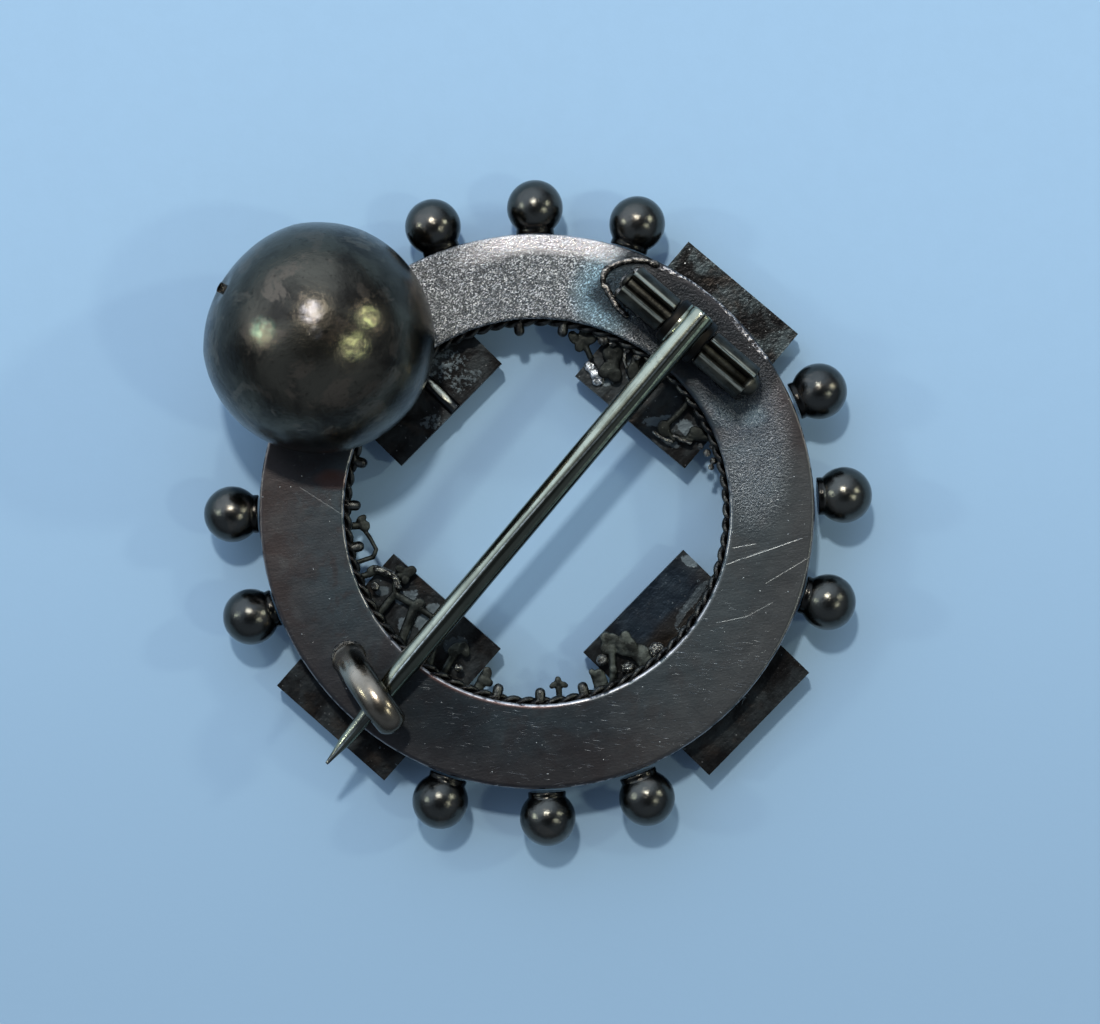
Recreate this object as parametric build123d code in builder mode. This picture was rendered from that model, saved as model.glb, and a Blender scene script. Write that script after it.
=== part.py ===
from build123d import *
from math import acos, cos, degrees, radians, sin, sqrt
import os

os.makedirs("parts", exist_ok=True)

# Millimetres. The brooch lies face down: Z = 0 is the table, its back looks up (+Z), and X and Y
# run through the middle of the ring. Bearings turn from +X towards +Y.

# clearance between neighbouring pieces
gap = 0.05

# rope wire under the inner edge of the sheet, with its short pegs
rope_radius = 13.18
rope_wire = 0.8
rope_level = 3.72
peg_wire = 0.73
peg_reach = 0.62
peg_angles = (95.6, 81.9, 164.5, 178.1, 191.1, 257.7, 271.0, 284.6)

# back sheet and the hollow ring under it
sheet_top = 4.76
sheet_thickness = 0.6
sheet_outer_radius = 19.13
sheet_lip = 0.1
sheet_edge_break = 0.12
sheet_overhang = 0.18
case_wall = 0.6
case_floor_level = 1.7
case_edge_round = 0.45
sheet_inner_radius = rope_radius + sheet_lip
case_outer_radius = sheet_outer_radius - sheet_overhang
ring_middle_radius = (sheet_inner_radius + sheet_outer_radius) / 2

# small balls on short collars round the rim
ball_diameter = 3.92
ball_level = 3.15
collar_diameter = 2.7
ball_places = (
    # bearing, stand-off from the sheet's edge in ball diameters
    (110.1, 0.469),
    (90.4, 0.480),
    (70.8, 0.495),
    (23.1, 0.533),
    (3.1, 0.548),
    (-17.3, 0.500),
    (-69.0, 0.538),
    (-88.0, 0.536),
    (-108.5, 0.510),
    (-159.8, 0.503),
    (-179.5, 0.505),
)

# the large hollow ball, which stands on the table, and its vent hole
big_ball_diameter = 15.9
big_ball_bearing = 141.5
big_ball_distance = 1.169 * ring_middle_radius
big_ball_wall = 0.5
vent_diameter = 0.7
vent_bearing = 153.0
vent_elevation = 19.0

# four plates through the ring
plate_back = 2.45
plate_slab = 1.35
plate_length = 12.2
plate_width = 9.95
plate_front_inset = 0.9
plate_places = (
    # name, bearing, distance in ring middle radii, turn
    ("plate_ne", 46.3, 0.927, 49.9),
    ("plate_nw", 133.1, 0.929, 135.5),
    ("plate_sw", 226.4, 0.921, 228.5),
    ("plate_se", 316.5, 0.940, 315.7),
)

# stub of wire soldered on the back of the north-west plate, placed from that plate's middle
stub_along = -0.374 * plate_length
stub_across = -0.045 * plate_width
stub_turn = 4.8
stub_length = 2.9
stub_diameter = 0.94

# hinge on the back: two fixed tubes, a moving knuckle and a rivet
hinge_bearing = 50.2
hinge_distance = 0.9886 * ring_middle_radius
hinge_turn = -40.7
tube_diameter = 2.75
tube_seam = 0.84
tube_foot_width = 2.0
tube_left_length = 3.65
tube_right_length = 3.88
knuckle_diameter = 3.4
knuckle_length = 3.1
knuckle_side_gap = 0.08
knuckle_sheet_gap = 0.14
rivet_diameter = 0.9
rivet_clearance = 0.05
rivet_head_diameter = 1.9
rivet_head_length = 0.8
hinge_level = sheet_top + knuckle_diameter / 2 + knuckle_sheet_gap

# pin stem, straight in plan and bowed down towards its tip
stem_diameter = 1.84
stem_turn = 230.0
stem_length = 2.476 * ring_middle_radius
stem_overhang = 1.6
stem_rise = 1.3
stem_tip_rise = 1.05
stem_level = hinge_level + stem_rise
stem_drop = stem_level - sheet_top - stem_tip_rise
stem_sections = (
    # share of the length, share of the diameter
    (0.0, 1.0),
    (0.25, 0.95),
    (0.5, 0.94),
    (0.76, 0.93),
    (0.83, 0.8),
    (0.91, 0.56),
    (0.95, 0.46),
    (0.98, 0.26),
    (1.0, 0.12),
)

# hook that holds the stem, a bent oval wire on a round foot
hook_bearing = 217.9
hook_distance = 1.0127 * ring_middle_radius
hook_turn = -54.6
hook_width = 2.2
hook_thickness = 1.7
hook_span = 5.6
hook_clearance = 0.28
hook_foot_diameter = 2.6
hook_foot_height = 0.35
hook_crossing = 0.87
hook_stem_level = stem_level - stem_drop * hook_crossing**2
hook_stem_diameter = 0.69 * stem_diameter
hook_rise = (
    hook_stem_level + (hook_stem_diameter + hook_thickness) / 2 + hook_clearance - sheet_top
)
hook_path = (
    # share of the span, share of the rise
    (0.0, 0.03),
    (0.07, 0.32),
    (0.24, 0.67),
    (0.47, 0.92),
    (0.7, 1.0),
    (0.89, 0.9),
    (1.0, 0.72),
)

# cut-sheet leaves between the rope and the plates; the rows of the sprays count in leaf_unit
leaf_unit = 1.0
leaf_thickness = 0.5
leaf_drop = 0.08
leaf_band_width = 0.5
leaf_band_radius = rope_radius + 0.04
leaf_edge_radius = rope_radius + 0.32
leaf_top = rope_level - rope_wire / 2 - leaf_drop


def polar(radius, angle):
    return (radius * cos(radians(angle)), radius * sin(radians(angle)))


def level_plane(x, y, level, turn):
    """A plane parallel to the table, its X turned from the row's X."""
    return Plane(origin=(x, y, level), x_dir=(*polar(1, turn), 0), z_dir=(0, 0, 1))


def radial_plane(radius, angle, level):
    """A plane facing outwards along a radius of the ring."""
    return Plane(
        origin=(*polar(radius, angle), level),
        x_dir=(*polar(1, angle + 90), 0),
        z_dir=(*polar(1, angle), 0),
    )


def radial_section(angle):
    """An upright plane through the ring's middle, its X outwards and its Y up."""
    return Plane(
        origin=(0, 0, 0),
        x_dir=(*polar(1, angle), 0),
        z_dir=(*polar(1, angle - 90), 0),
    )


def plate_spot(bearing, distance):
    """A plate's middle in plan."""
    return polar(distance * ring_middle_radius, bearing)


hinge_x, hinge_y = polar(hinge_distance, hinge_bearing)


def hinge_plane(along):
    """A plane square to the hinge's axis, its Y up."""
    dx, dy = polar(along, hinge_turn)
    return Plane(
        origin=(hinge_x + dx, hinge_y + dy, hinge_level),
        x_dir=(*polar(1, hinge_turn + 90), 0),
        z_dir=(*polar(1, hinge_turn), 0),
    )


big_ball_radius = big_ball_diameter / 2
big_ball_spot = (*polar(big_ball_distance, big_ball_bearing), big_ball_radius)
big_ball_room = big_ball_radius + gap

# back sheet: a flat ring, cut where the large ball sits
with BuildPart() as back_sheet:
    with BuildSketch(Plane.XY.offset(sheet_top - sheet_thickness)):
        Circle(sheet_outer_radius)
        Circle(sheet_inner_radius, mode=Mode.SUBTRACT)
    extrude(amount=sheet_thickness)
    chamfer(back_sheet.faces().sort_by(Axis.Z)[-1].edges(), length=sheet_edge_break)
    with Locations(big_ball_spot):
        Sphere(big_ball_room, mode=Mode.SUBTRACT)
back_sheet.part.label = "back_sheet"
export_step(back_sheet.part, "parts/back_sheet.step")

# ring case: floor and two walls, open towards the sheet, let over the four plates
case_top = sheet_top - sheet_thickness - gap
case_inner_radius = rope_radius + rope_wire / 2 + gap
with BuildPart() as ring_case:
    with BuildSketch(Plane.XY.offset(case_floor_level)):
        Circle(case_outer_radius)
        Circle(case_inner_radius, mode=Mode.SUBTRACT)
    extrude(amount=case_top - case_floor_level)
    fillet(ring_case.faces().sort_by(Axis.Z)[0].edges(), radius=case_edge_round)
    with BuildSketch(Plane.XY.offset(case_top)):
        Circle(case_outer_radius - case_wall)
        Circle(case_inner_radius + case_wall, mode=Mode.SUBTRACT)
    extrude(amount=-(case_top - case_floor_level - case_wall), mode=Mode.SUBTRACT)
    for name, bearing, distance, turn in plate_places:
        with Locations(level_plane(*plate_spot(bearing, distance), plate_back + gap, turn)):
            Box(
                plate_length + 2 * gap,
                plate_width + 2 * gap,
                plate_back,
                align=(Align.CENTER, Align.CENTER, Align.MAX),
                mode=Mode.SUBTRACT,
            )
    with Locations(big_ball_spot):
        Sphere(big_ball_room, mode=Mode.SUBTRACT)
ring_case.part.label = "ring_case"
export_step(ring_case.part, "parts/ring_case.step")

# rope wire with its pegs, which point to the middle; it stops on either side of the large ball
rope_room = big_ball_room + rope_wire / 2
rope_share = (
    rope_radius**2
    + big_ball_distance**2
    + (big_ball_radius - rope_level) ** 2
    - rope_room**2
) / (2 * rope_radius * big_ball_distance)
rope_gap_angle = degrees(acos(rope_share))
with BuildPart() as inner_rope:
    with BuildSketch(radial_section(big_ball_bearing + rope_gap_angle)):
        with Locations((rope_radius, rope_level)):
            Circle(rope_wire / 2)
    revolve(axis=Axis.Z, revolution_arc=360 - 2 * rope_gap_angle)
    peg_end_radius = rope_radius - rope_wire / 2 - peg_reach + peg_wire / 2
    for angle in peg_angles:
        with Locations(radial_plane(peg_end_radius, angle, rope_level)):
            Cylinder(
                peg_wire / 2,
                rope_radius - peg_end_radius,
                align=(Align.CENTER, Align.CENTER, Align.MIN),
            )
            Sphere(peg_wire / 2)
inner_rope.part.label = "inner_rope"
export_step(inner_rope.part, "parts/inner_rope.step")

# small balls, each turned in one solid with the collar that stands it off the rim
for number, (angle, stand_off) in enumerate(ball_places, 1):
    radius = sheet_outer_radius + stand_off * ball_diameter
    ball_section = Plane(
        origin=(*polar(radius, angle), ball_level),
        x_dir=(*polar(1, angle), 0),
        z_dir=(*polar(1, angle - 90), 0),
    )
    with BuildPart() as small_ball:
        with BuildSketch(ball_section):
            Circle(ball_diameter / 2)
            Rectangle(
                radius - sheet_outer_radius - gap,
                collar_diameter,
                align=(Align.MAX, Align.CENTER),
            )
            Rectangle(
                2 * ball_diameter,
                2 * ball_diameter,
                align=(Align.CENTER, Align.MAX),
                mode=Mode.SUBTRACT,
            )
        revolve(axis=Axis(ball_section.origin, ball_section.x_dir))
    small_ball.part.label = f"small_ball_{number:02d}"
    export_step(small_ball.part, f"parts/small_ball_{number:02d}.step")

# large hollow ball with a small vent hole low on its outer side
vent_plane = Plane(
    origin=big_ball_spot,
    x_dir=(*polar(1, vent_bearing + 90), 0),
    z_dir=(
        *polar(cos(radians(vent_elevation)), vent_bearing),
        sin(radians(vent_elevation)),
    ),
)
with BuildPart() as big_ball:
    with Locations(big_ball_spot):
        Sphere(big_ball_radius)
        Sphere(big_ball_radius - big_ball_wall, mode=Mode.SUBTRACT)
    with Locations(vent_plane):
        Cylinder(
            vent_diameter / 2,
            big_ball_radius + 1,
            align=(Align.CENTER, Align.CENTER, Align.MIN),
            mode=Mode.SUBTRACT,
        )
big_ball.part.label = "big_ball"
export_step(big_ball.part, "parts/big_ball.step")

# plates: a slab with a bevelled front that rests on the table; the north-west one has its stub
# and a round cut-out where the large ball stands
front_height = plate_back - plate_slab
ball_cut_radius = sqrt(big_ball_room**2 - (big_ball_radius - plate_back) ** 2)
for name, bearing, distance, turn in plate_places:
    x, y = plate_spot(bearing, distance)
    back_plane = level_plane(x, y, plate_back, turn)
    with BuildPart() as plate:
        with BuildSketch(level_plane(x, y, front_height, turn)):
            Rectangle(plate_length, plate_width)
        extrude(amount=plate_slab)
        with BuildSketch(level_plane(x, y, 0, turn)):
            Rectangle(plate_length - 2 * plate_front_inset, plate_width - 2 * plate_front_inset)
        with BuildSketch(level_plane(x, y, front_height, turn)):
            Rectangle(plate_length, plate_width)
        loft()
        if name == "plate_nw":
            with Locations(back_plane * Pos(stub_along, stub_across) * Rot(0, 90, stub_turn)):
                Cylinder(stub_diameter / 2, stub_length)
            with Locations((*polar(big_ball_distance, big_ball_bearing), 0)):
                Cylinder(
                    ball_cut_radius,
                    2 * plate_back,
                    mode=Mode.SUBTRACT,
                )
    plate.part.label = name
    export_step(plate.part, f"parts/{name}.step")

# fixed hinge tubes: rolled, open along the top, on a foot of solder
knuckle_room = knuckle_length / 2 + knuckle_side_gap
tube_left_start = -knuckle_room - tube_left_length
tube_right_end = knuckle_room + tube_right_length
tubes = (
    # name, start, end
    ("hinge_tube_left", tube_left_start, -knuckle_room),
    ("hinge_tube_right", knuckle_room, tube_right_end),
)
for name, start, end in tubes:
    with BuildPart() as tube:
        with Locations(hinge_plane(start)):
            Cylinder(
                tube_diameter / 2, end - start, align=(Align.CENTER, Align.CENTER, Align.MIN)
            )
            Box(
                tube_foot_width,
                hinge_level - sheet_top - gap,
                end - start,
                align=(Align.CENTER, Align.MAX, Align.MIN),
            )
            Cylinder(
                rivet_diameter / 2 + rivet_clearance,
                end - start,
                align=(Align.CENTER, Align.CENTER, Align.MIN),
                mode=Mode.SUBTRACT,
            )
            Box(
                tube_seam,
                tube_diameter,
                end - start,
                align=(Align.CENTER, Align.MIN, Align.MIN),
                mode=Mode.SUBTRACT,
            )
    tube.part.label = name
    export_step(tube.part, f"parts/{name}.step")

# rivet through the hinge, with a rounded head at its right end and a low one at its left
with BuildPart() as hinge_rivet:
    rivet_start = tube_left_start - gap
    rivet_end = tube_right_end + gap
    with Locations(hinge_plane(rivet_start)):
        Cylinder(
            rivet_diameter / 2,
            rivet_end - rivet_start,
            align=(Align.CENTER, Align.CENTER, Align.MIN),
        )
        Cylinder(
            0.36 * rivet_head_diameter,
            0.35 * rivet_head_length,
            align=(Align.CENTER, Align.CENTER, Align.MAX),
        )
    with BuildSketch(hinge_plane(rivet_end)):
        Circle(rivet_head_diameter / 2)
    extrude(amount=rivet_head_length, taper=25)
hinge_rivet.part.label = "hinge_rivet"
export_step(hinge_rivet.part, "parts/hinge_rivet.step")


def stem_plane(share):
    """A plane square to the stem, at a share of its length from the flat end."""
    dx, dy = polar(share * stem_length - stem_overhang, stem_turn)
    slope = -2 * stem_drop * share / stem_length
    return Plane(
        origin=(
            hinge_x + dx,
            hinge_y + dy,
            stem_level - stem_drop * share**2,
        ),
        x_dir=(*polar(1, stem_turn + 90), 0),
        z_dir=(*polar(1, stem_turn), slope),
    )


# pin stem with the knuckle that turns on the rivet
with BuildPart() as pin_stem:
    for share, thickness in stem_sections:
        with BuildSketch(stem_plane(share)):
            Circle(thickness * stem_diameter / 2)
    loft(ruled=True)
    with Locations(hinge_plane(-knuckle_length / 2)):
        Cylinder(
            knuckle_diameter / 2,
            knuckle_length,
            align=(Align.CENTER, Align.CENTER, Align.MIN),
        )
        Cylinder(
            rivet_diameter / 2 + rivet_clearance,
            knuckle_length,
            align=(Align.CENTER, Align.CENTER, Align.MIN),
            mode=Mode.SUBTRACT,
        )
pin_stem.part.label = "pin_stem"
export_step(pin_stem.part, "parts/pin_stem.step")

# hook: a bent wire on a round foot, its free end stopping clear of the sheet
hook_x, hook_y = polar(hook_distance, hook_bearing)
hook_plane = Plane(
    origin=(hook_x, hook_y, sheet_top),
    x_dir=(*polar(1, hook_turn), 0),
    z_dir=(*polar(1, hook_turn - 90), 0),
)
with BuildPart() as catch_hook:
    with BuildLine(hook_plane):
        hook_line = Spline(*[(along * hook_span, up * hook_rise) for along, up in hook_path])
    with BuildSketch(
        Plane(origin=hook_line @ 0, x_dir=hook_plane.z_dir, z_dir=hook_line % 0)
    ):
        Ellipse(hook_width / 2, hook_thickness / 2)
    sweep(path=hook_line)
    with Locations((hook_x, hook_y, sheet_top + gap)):
        Cylinder(
            hook_foot_diameter / 2,
            hook_foot_height,
            align=(Align.CENTER, Align.CENTER, Align.MIN),
        )
    with Locations((hook_x, hook_y, sheet_top + gap)):
        Box(
            2 * hook_foot_diameter,
            2 * hook_foot_diameter,
            2 * hook_foot_diameter,
            align=(Align.CENTER, Align.CENTER, Align.MAX),
            mode=Mode.SUBTRACT,
        )
catch_hook.part.label = "catch_hook"
export_step(catch_hook.part, "parts/catch_hook.step")

# leaves: for each spray a band hidden under the rope, bars and lobes
sprays = (
    (
        "leaf_ne",
        (14, 80),
        (
            # from angle, from reach, to angle, to reach, width
            (74.5, 0.0, 75.5, 1.0, 0.9),
            (75.0, 0.9, 70.8, 1.9, 0.5),
            (63.5, 0.0, 64.5, 1.2, 1.5),
            (64.0, 1.0, 60.8, 2.2, 0.8),
            (58.0, 0.0, 56.0, 1.2, 0.7),
            (36.0, 0.0, 34.5, 1.4, 0.5),
            (34.5, 1.4, 33.4, 2.9, 0.5),
            (33.8, 2.6, 27.7, 2.5, 0.4),
            (28.7, 2.3, 24.6, 1.4, 0.4),
            (22.7, 0.0, 26.3, 1.4, 0.6),
        ),
        (
            # angle, reach, length, width, turn
            (78.2, 0.85, 1.0, 0.7, 40),
            (75.6, 1.35, 0.9, 0.7, 0),
            (73.2, 0.75, 1.2, 0.8, -50),
            (63.6, 2.2, 1.5, 1.1, -25),
            (60.3, 2.3, 1.1, 1.0, 20),
            (55.6, 1.4, 1.3, 0.9, 30),
            (33.1, 2.7, 1.3, 0.9, 60),
            (26.3, 0.8, 1.2, 0.8, -50),
        ),
    ),
    (
        "leaf_se",
        (-72, -47),
        (
            (-66.2, 0.0, -61.5, 2.4, 0.55),
            (-61.8, 2.2, -59.6, 2.9, 0.7),
            (-53.0, 0.0, -54.2, 1.2, 1.4),
            (-54.2, 1.1, -58.2, 2.0, 1.0),
            (-56.6, 0.0, -54.6, 0.9, 0.6),
            (-66.6, 0.0, -64.4, 1.1, 0.5),
            (-69.8, 0.0, -69.6, 1.1, 1.1),
        ),
        (
            (-61.3, 3.1, 1.1, 0.9, 10),
            (-63.3, 2.6, 1.0, 0.8, -40),
            (-59.0, 2.9, 0.9, 0.8, 30),
            (-54.8, 2.5, 1.0, 0.8, -20),
            (-57.6, 2.3, 0.9, 0.8, 30),
            (-55.0, 1.9, 1.4, 0.9, 0),
            (-64.2, 1.0, 0.7, 0.6, 0),
            (-70.9, 1.35, 0.7, 0.5, 25),
            (-69.0, 1.25, 0.6, 0.5, -25),
        ),
    ),
    (
        "leaf_sw",
        (-161.6, -104),
        (
            (-159.6, 0.0, -159.4, 1.4, 0.5),
            (-159.4, 1.4, -155.2, 2.4, 0.5),
            (-155.2, 2.4, -150.0, 1.8, 0.5),
            (-150.0, 1.8, -147.0, 0.0, 0.6),
            (-155.2, 2.4, -155.0, 3.3, 0.5),
            (-150.0, 1.8, -142.5, 2.5, 0.6),
            (-142.5, 2.5, -136.0, 0.0, 0.7),
            (-142.5, 2.5, -131.8, 3.0, 0.5),
            (-131.8, 3.0, -125.0, 0.0, 0.7),
            (-120.0, 0.0, -120.2, 2.0, 0.6),
            (-108.6, 0.0, -107.4, 1.4, 0.8),
        ),
        (
            (-160.4, 1.1, 0.9, 0.7, 10),
            (-154.6, 3.4, 1.1, 0.8, 10),
            (-157.2, 2.9, 0.8, 0.6, -40),
            (-152.6, 2.9, 0.8, 0.6, 40),
            (-142.0, 2.7, 1.1, 0.8, 0),
            (-131.4, 3.1, 1.2, 0.9, 30),
            (-120.4, 2.1, 1.3, 0.9, -30),
            (-117.6, 2.4, 1.2, 0.7, 40),
            (-107.2, 1.5, 0.9, 0.7, 20),
            (-107.0, 0.9, 1.2, 0.7, 80),
        ),
    ),
    (
        "leaf_w",
        (-178, -164.4),
        (
            (-175.6, 0.0, -175.4, 1.0, 0.6),
            (-175.0, 1.0, -171.8, 1.4, 0.34),
            (-171.8, 1.4, -166.8, 1.75, 0.34),
            (-166.8, 1.75, -164.4, 1.4, 0.34),
            (-164.4, 1.4, -164.2, 0.0, 0.4),
        ),
        (
            (-177.6, 1.0, 0.8, 0.5, 30),
            (-175.2, 1.2, 0.8, 0.8, 0),
        ),
    ),
    (
        "leaf_s",
        (-86, -80),
        (
            (-83.2, 0.0, -82.9, 1.2, 0.5),
        ),
        (
            (-82.9, 1.35, 0.7, 0.5, 0),
            (-84.6, 1.1, 0.7, 0.45, -60),
            (-81.2, 1.05, 0.7, 0.45, 60),
        ),
    ),
)


def spot(angle, reach):
    """A place in plan, by angle and reach inwards from the middle of the rope's wire."""
    return polar(rope_radius - reach * leaf_unit, angle)


for name, (band_start, band_end), bars, lobes in sprays:
    with BuildPart() as spray:
        with BuildSketch(Plane.XY.offset(leaf_top)):
            band = CenterArc((0, 0), leaf_band_radius, band_start, band_end - band_start)
            SlotArc(arc=band, height=leaf_band_width)
            for angle_0, reach_0, angle_1, reach_1, width in bars:
                start = Vector(*spot(angle_0, reach_0))
                end = Vector(*spot(angle_1, reach_1))
                with Locations((start + end) * 0.5):
                    SlotCenterToCenter(
                        (end - start).length,
                        width * leaf_unit,
                        rotation=Vector(1, 0).get_signed_angle(end - start, Vector(0, 0, 1)),
                    )
            for angle, reach, length, width, turn in lobes:
                with Locations(Location((*spot(angle, reach), 0), (0, 0, angle + turn))):
                    Ellipse(length * leaf_unit / 2, width * leaf_unit / 2)
            Circle(leaf_edge_radius, mode=Mode.INTERSECT)
        extrude(amount=-leaf_thickness)
    spray.part.label = name
    export_step(spray.part, f"parts/{name}.step")
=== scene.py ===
"""Silver brooch, lying face down on pale blue paper: the looks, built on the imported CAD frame."""

import math
import random

import bmesh
import bpy
from bpy.props import FloatProperty, FloatVectorProperty, PointerProperty
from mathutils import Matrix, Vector, noise


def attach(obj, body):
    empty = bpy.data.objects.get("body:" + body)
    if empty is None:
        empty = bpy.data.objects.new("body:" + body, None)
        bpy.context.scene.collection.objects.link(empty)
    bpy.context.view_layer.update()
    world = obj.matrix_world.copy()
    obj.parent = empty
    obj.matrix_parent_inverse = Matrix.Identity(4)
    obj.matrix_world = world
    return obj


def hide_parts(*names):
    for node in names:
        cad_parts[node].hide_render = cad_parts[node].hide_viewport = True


bl_info = {
    "name": "Silver brooch",
    "version": (1, 0, 0),
    "blender": (4, 5, 0),
    "location": "3D View > Sidebar > Brooch",
    "description": "Builds the pieces, finishes and stage of a tarnished silver brooch",
    "category": "Object",
}

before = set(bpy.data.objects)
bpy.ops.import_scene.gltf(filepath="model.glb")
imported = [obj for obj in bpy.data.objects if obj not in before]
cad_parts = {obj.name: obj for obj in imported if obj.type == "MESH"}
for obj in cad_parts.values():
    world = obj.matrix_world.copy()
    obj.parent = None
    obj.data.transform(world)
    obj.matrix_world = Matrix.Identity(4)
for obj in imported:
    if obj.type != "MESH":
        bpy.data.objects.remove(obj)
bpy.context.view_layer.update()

MM = 0.001
BODY = "brooch"
PIN = "pin"
UP = Vector((0, 0, 1))
SHEET_TOP, SHEET_INNER, SHEET_OUTER = 4.76, 13.28, 19.13
ROPE_RADIUS = 13.18
ROUND_END_STEPS = (0.35, 0.65, 0.88, 0.98)


# sizes and colours


def size(name, description, value, low=0.0, high=100.0):
    """A length property, kept in millimetres."""
    return FloatProperty(name=name, description=description, default=value, min=low, max=high)


def colour(name, description, value):
    """A colour property."""
    return FloatVectorProperty(
        name=name, description=description, default=value, subtype="COLOR", size=3, min=0, max=1
    )


class BroochSizes(bpy.types.PropertyGroup):
    """Sizes in millimetres, in the CAD's frame."""

    sheet_top: size("Sheet top", "Height of the back sheet's upper face", SHEET_TOP)
    sheet_thickness: size("Sheet thickness", "Thickness of the back sheet", 0.6)
    sheet_outer: size("Sheet outer radius", "Outer radius of the back sheet", SHEET_OUTER)
    sheet_inner: size("Sheet inner radius", "Inner radius of the back sheet", SHEET_INNER)
    rope_radius: size("Rope radius", "Radius of the rope's middle line", ROPE_RADIUS)
    rope_level: size("Rope height", "Height of the rope's middle line", 3.72)
    rope_wire: size("Rope thickness", "Thickness over both strands", 0.8)
    rope_pitch: size("Rope pitch", "Length of one full turn of the strands", 2.04)
    peg_wire: size("Peg thickness", "Diameter of the short pegs", 0.73)
    peg_reach: size("Peg reach", "How far the pegs stand in from the rope", 0.62)
    small_ball: size("Small ball", "Diameter of a small ball", 3.9)
    small_level: size("Small ball height", "Height of the small balls' middles", 3.15)
    collar: size("Collar", "Diameter of a small ball's collar", 2.66)
    big_ball: size("Large ball", "Diameter of the large ball", 15.86)
    vent: size("Vent", "Diameter of the large ball's vent hole", 0.72)
    tube: size("Hinge tube", "Outer diameter of the fixed hinge tubes", 2.75)
    tube_seam: size("Tube seam", "Width of the open seam on the tubes", 0.84)
    knuckle: size("Knuckle", "Diameter of the moving knuckle", 3.38)
    hook_wide: size("Hook width", "Width of the hook's oval wire", 2.2)
    hook_thick: size("Hook thickness", "Thickness of the hook's oval wire", 1.7)
    leaf_top: size("Leaf height", "Height of the leaves' upper faces", 3.24)
    leaf_thickness: size("Leaf thickness", "Thickness of the leaves", 0.5)


class BroochColours(bpy.types.PropertyGroup):
    """Colours of the finishes."""

    dark: colour("Dark silver", "Deep tarnish in hollows", (0.012, 0.012, 0.013))
    grey: colour("Grey silver", "Plain tarnished metal", (0.14, 0.14, 0.135))
    # pale is also the colour of the plates' painted glints
    pale: colour("Pale silver", "Worn and rubbed metal", (0.6, 0.6, 0.58))
    plum: colour("Plum tarnish", "Purple-brown film on the sheet", (0.082, 0.07, 0.068))
    slate: colour("Slate tarnish", "Blue-grey film on the sheet", (0.07, 0.086, 0.095))
    # painted reddish reflection of the large ball in the sheet below it
    ball_reflection: colour("Rust stain", "Reddish stain near the left inner edge", (0.12, 0.05, 0.035))
    brass: colour("Pin metal", "Yellower metal of the pin stem", (0.42, 0.415, 0.31))
    paper: colour("Paper", "The paper that it lies on", (0.36, 0.525, 0.70))


# node helpers


def maths(operation):
    """A method that adds a Math node of one kind."""

    def method(self, *others):
        return self.op(operation, *others)

    return method


class Num:
    """A number inside a node tree; sums written on it add the Math nodes."""

    __add__ = __radd__ = maths("ADD")
    __mul__ = __rmul__ = maths("MULTIPLY")
    __sub__ = maths("SUBTRACT")
    __truediv__ = maths("DIVIDE")
    __pow__ = maths("POWER")
    least = maths("MINIMUM")
    most = maths("MAXIMUM")
    size = maths("ABSOLUTE")
    cosine = maths("COSINE")
    sine = maths("SINE")
    bearing = maths("ARCTAN2")

    def __init__(self, graph, socket):
        self.graph = graph
        self.socket = socket

    def op(self, operation, *others):
        values = dict(enumerate((self, *others)))
        return self.graph.num(self.graph.node("ShaderNodeMath", values, operation=operation))

    def __rsub__(self, other):
        return (self * -1.0) + other

    def ramp(self, low, high):
        """0 below low, 1 above high, smooth between (high may be the lower one)."""
        values = {"Value": self, "From Min": low, "From Max": high}
        made = self.graph.node("ShaderNodeMapRange", values, interpolation_type="SMOOTHSTEP")
        return self.graph.num(made)


class Graph:
    """A node tree being written."""

    def __init__(self, tree):
        self.tree = tree

    def feed(self, target, value):
        """Gives an input a value, or a link from a number, a socket or a node's first output."""
        if isinstance(value, Num):
            value = value.socket
        elif isinstance(value, bpy.types.Node):
            value = value.outputs[0]
        if isinstance(value, bpy.types.NodeSocket):
            self.tree.links.new(value, target)
        else:
            target.default_value = value

    def node(self, kind, values=None, **settings):
        """Adds a node: its settings first, then the values or links of its inputs."""
        made = self.tree.nodes.new(kind)
        for key, value in settings.items():
            setattr(made, key, value)
        for key, value in (values or {}).items():
            self.feed(made.inputs[key], value)
        return made

    def num(self, made, output=0):
        return Num(self, made.outputs[output])

    def parts(self, vector):
        """The x, y and z of a vector."""
        split = self.node("ShaderNodeSeparateXYZ", {0: vector})
        return [self.num(split, i) for i in range(3)]


def rgba(shade):
    """A colour as a node takes it; a link stays a link."""
    return shade if isinstance(shade, bpy.types.NodeSocket) else (*shade[:3], 1.0)


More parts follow.
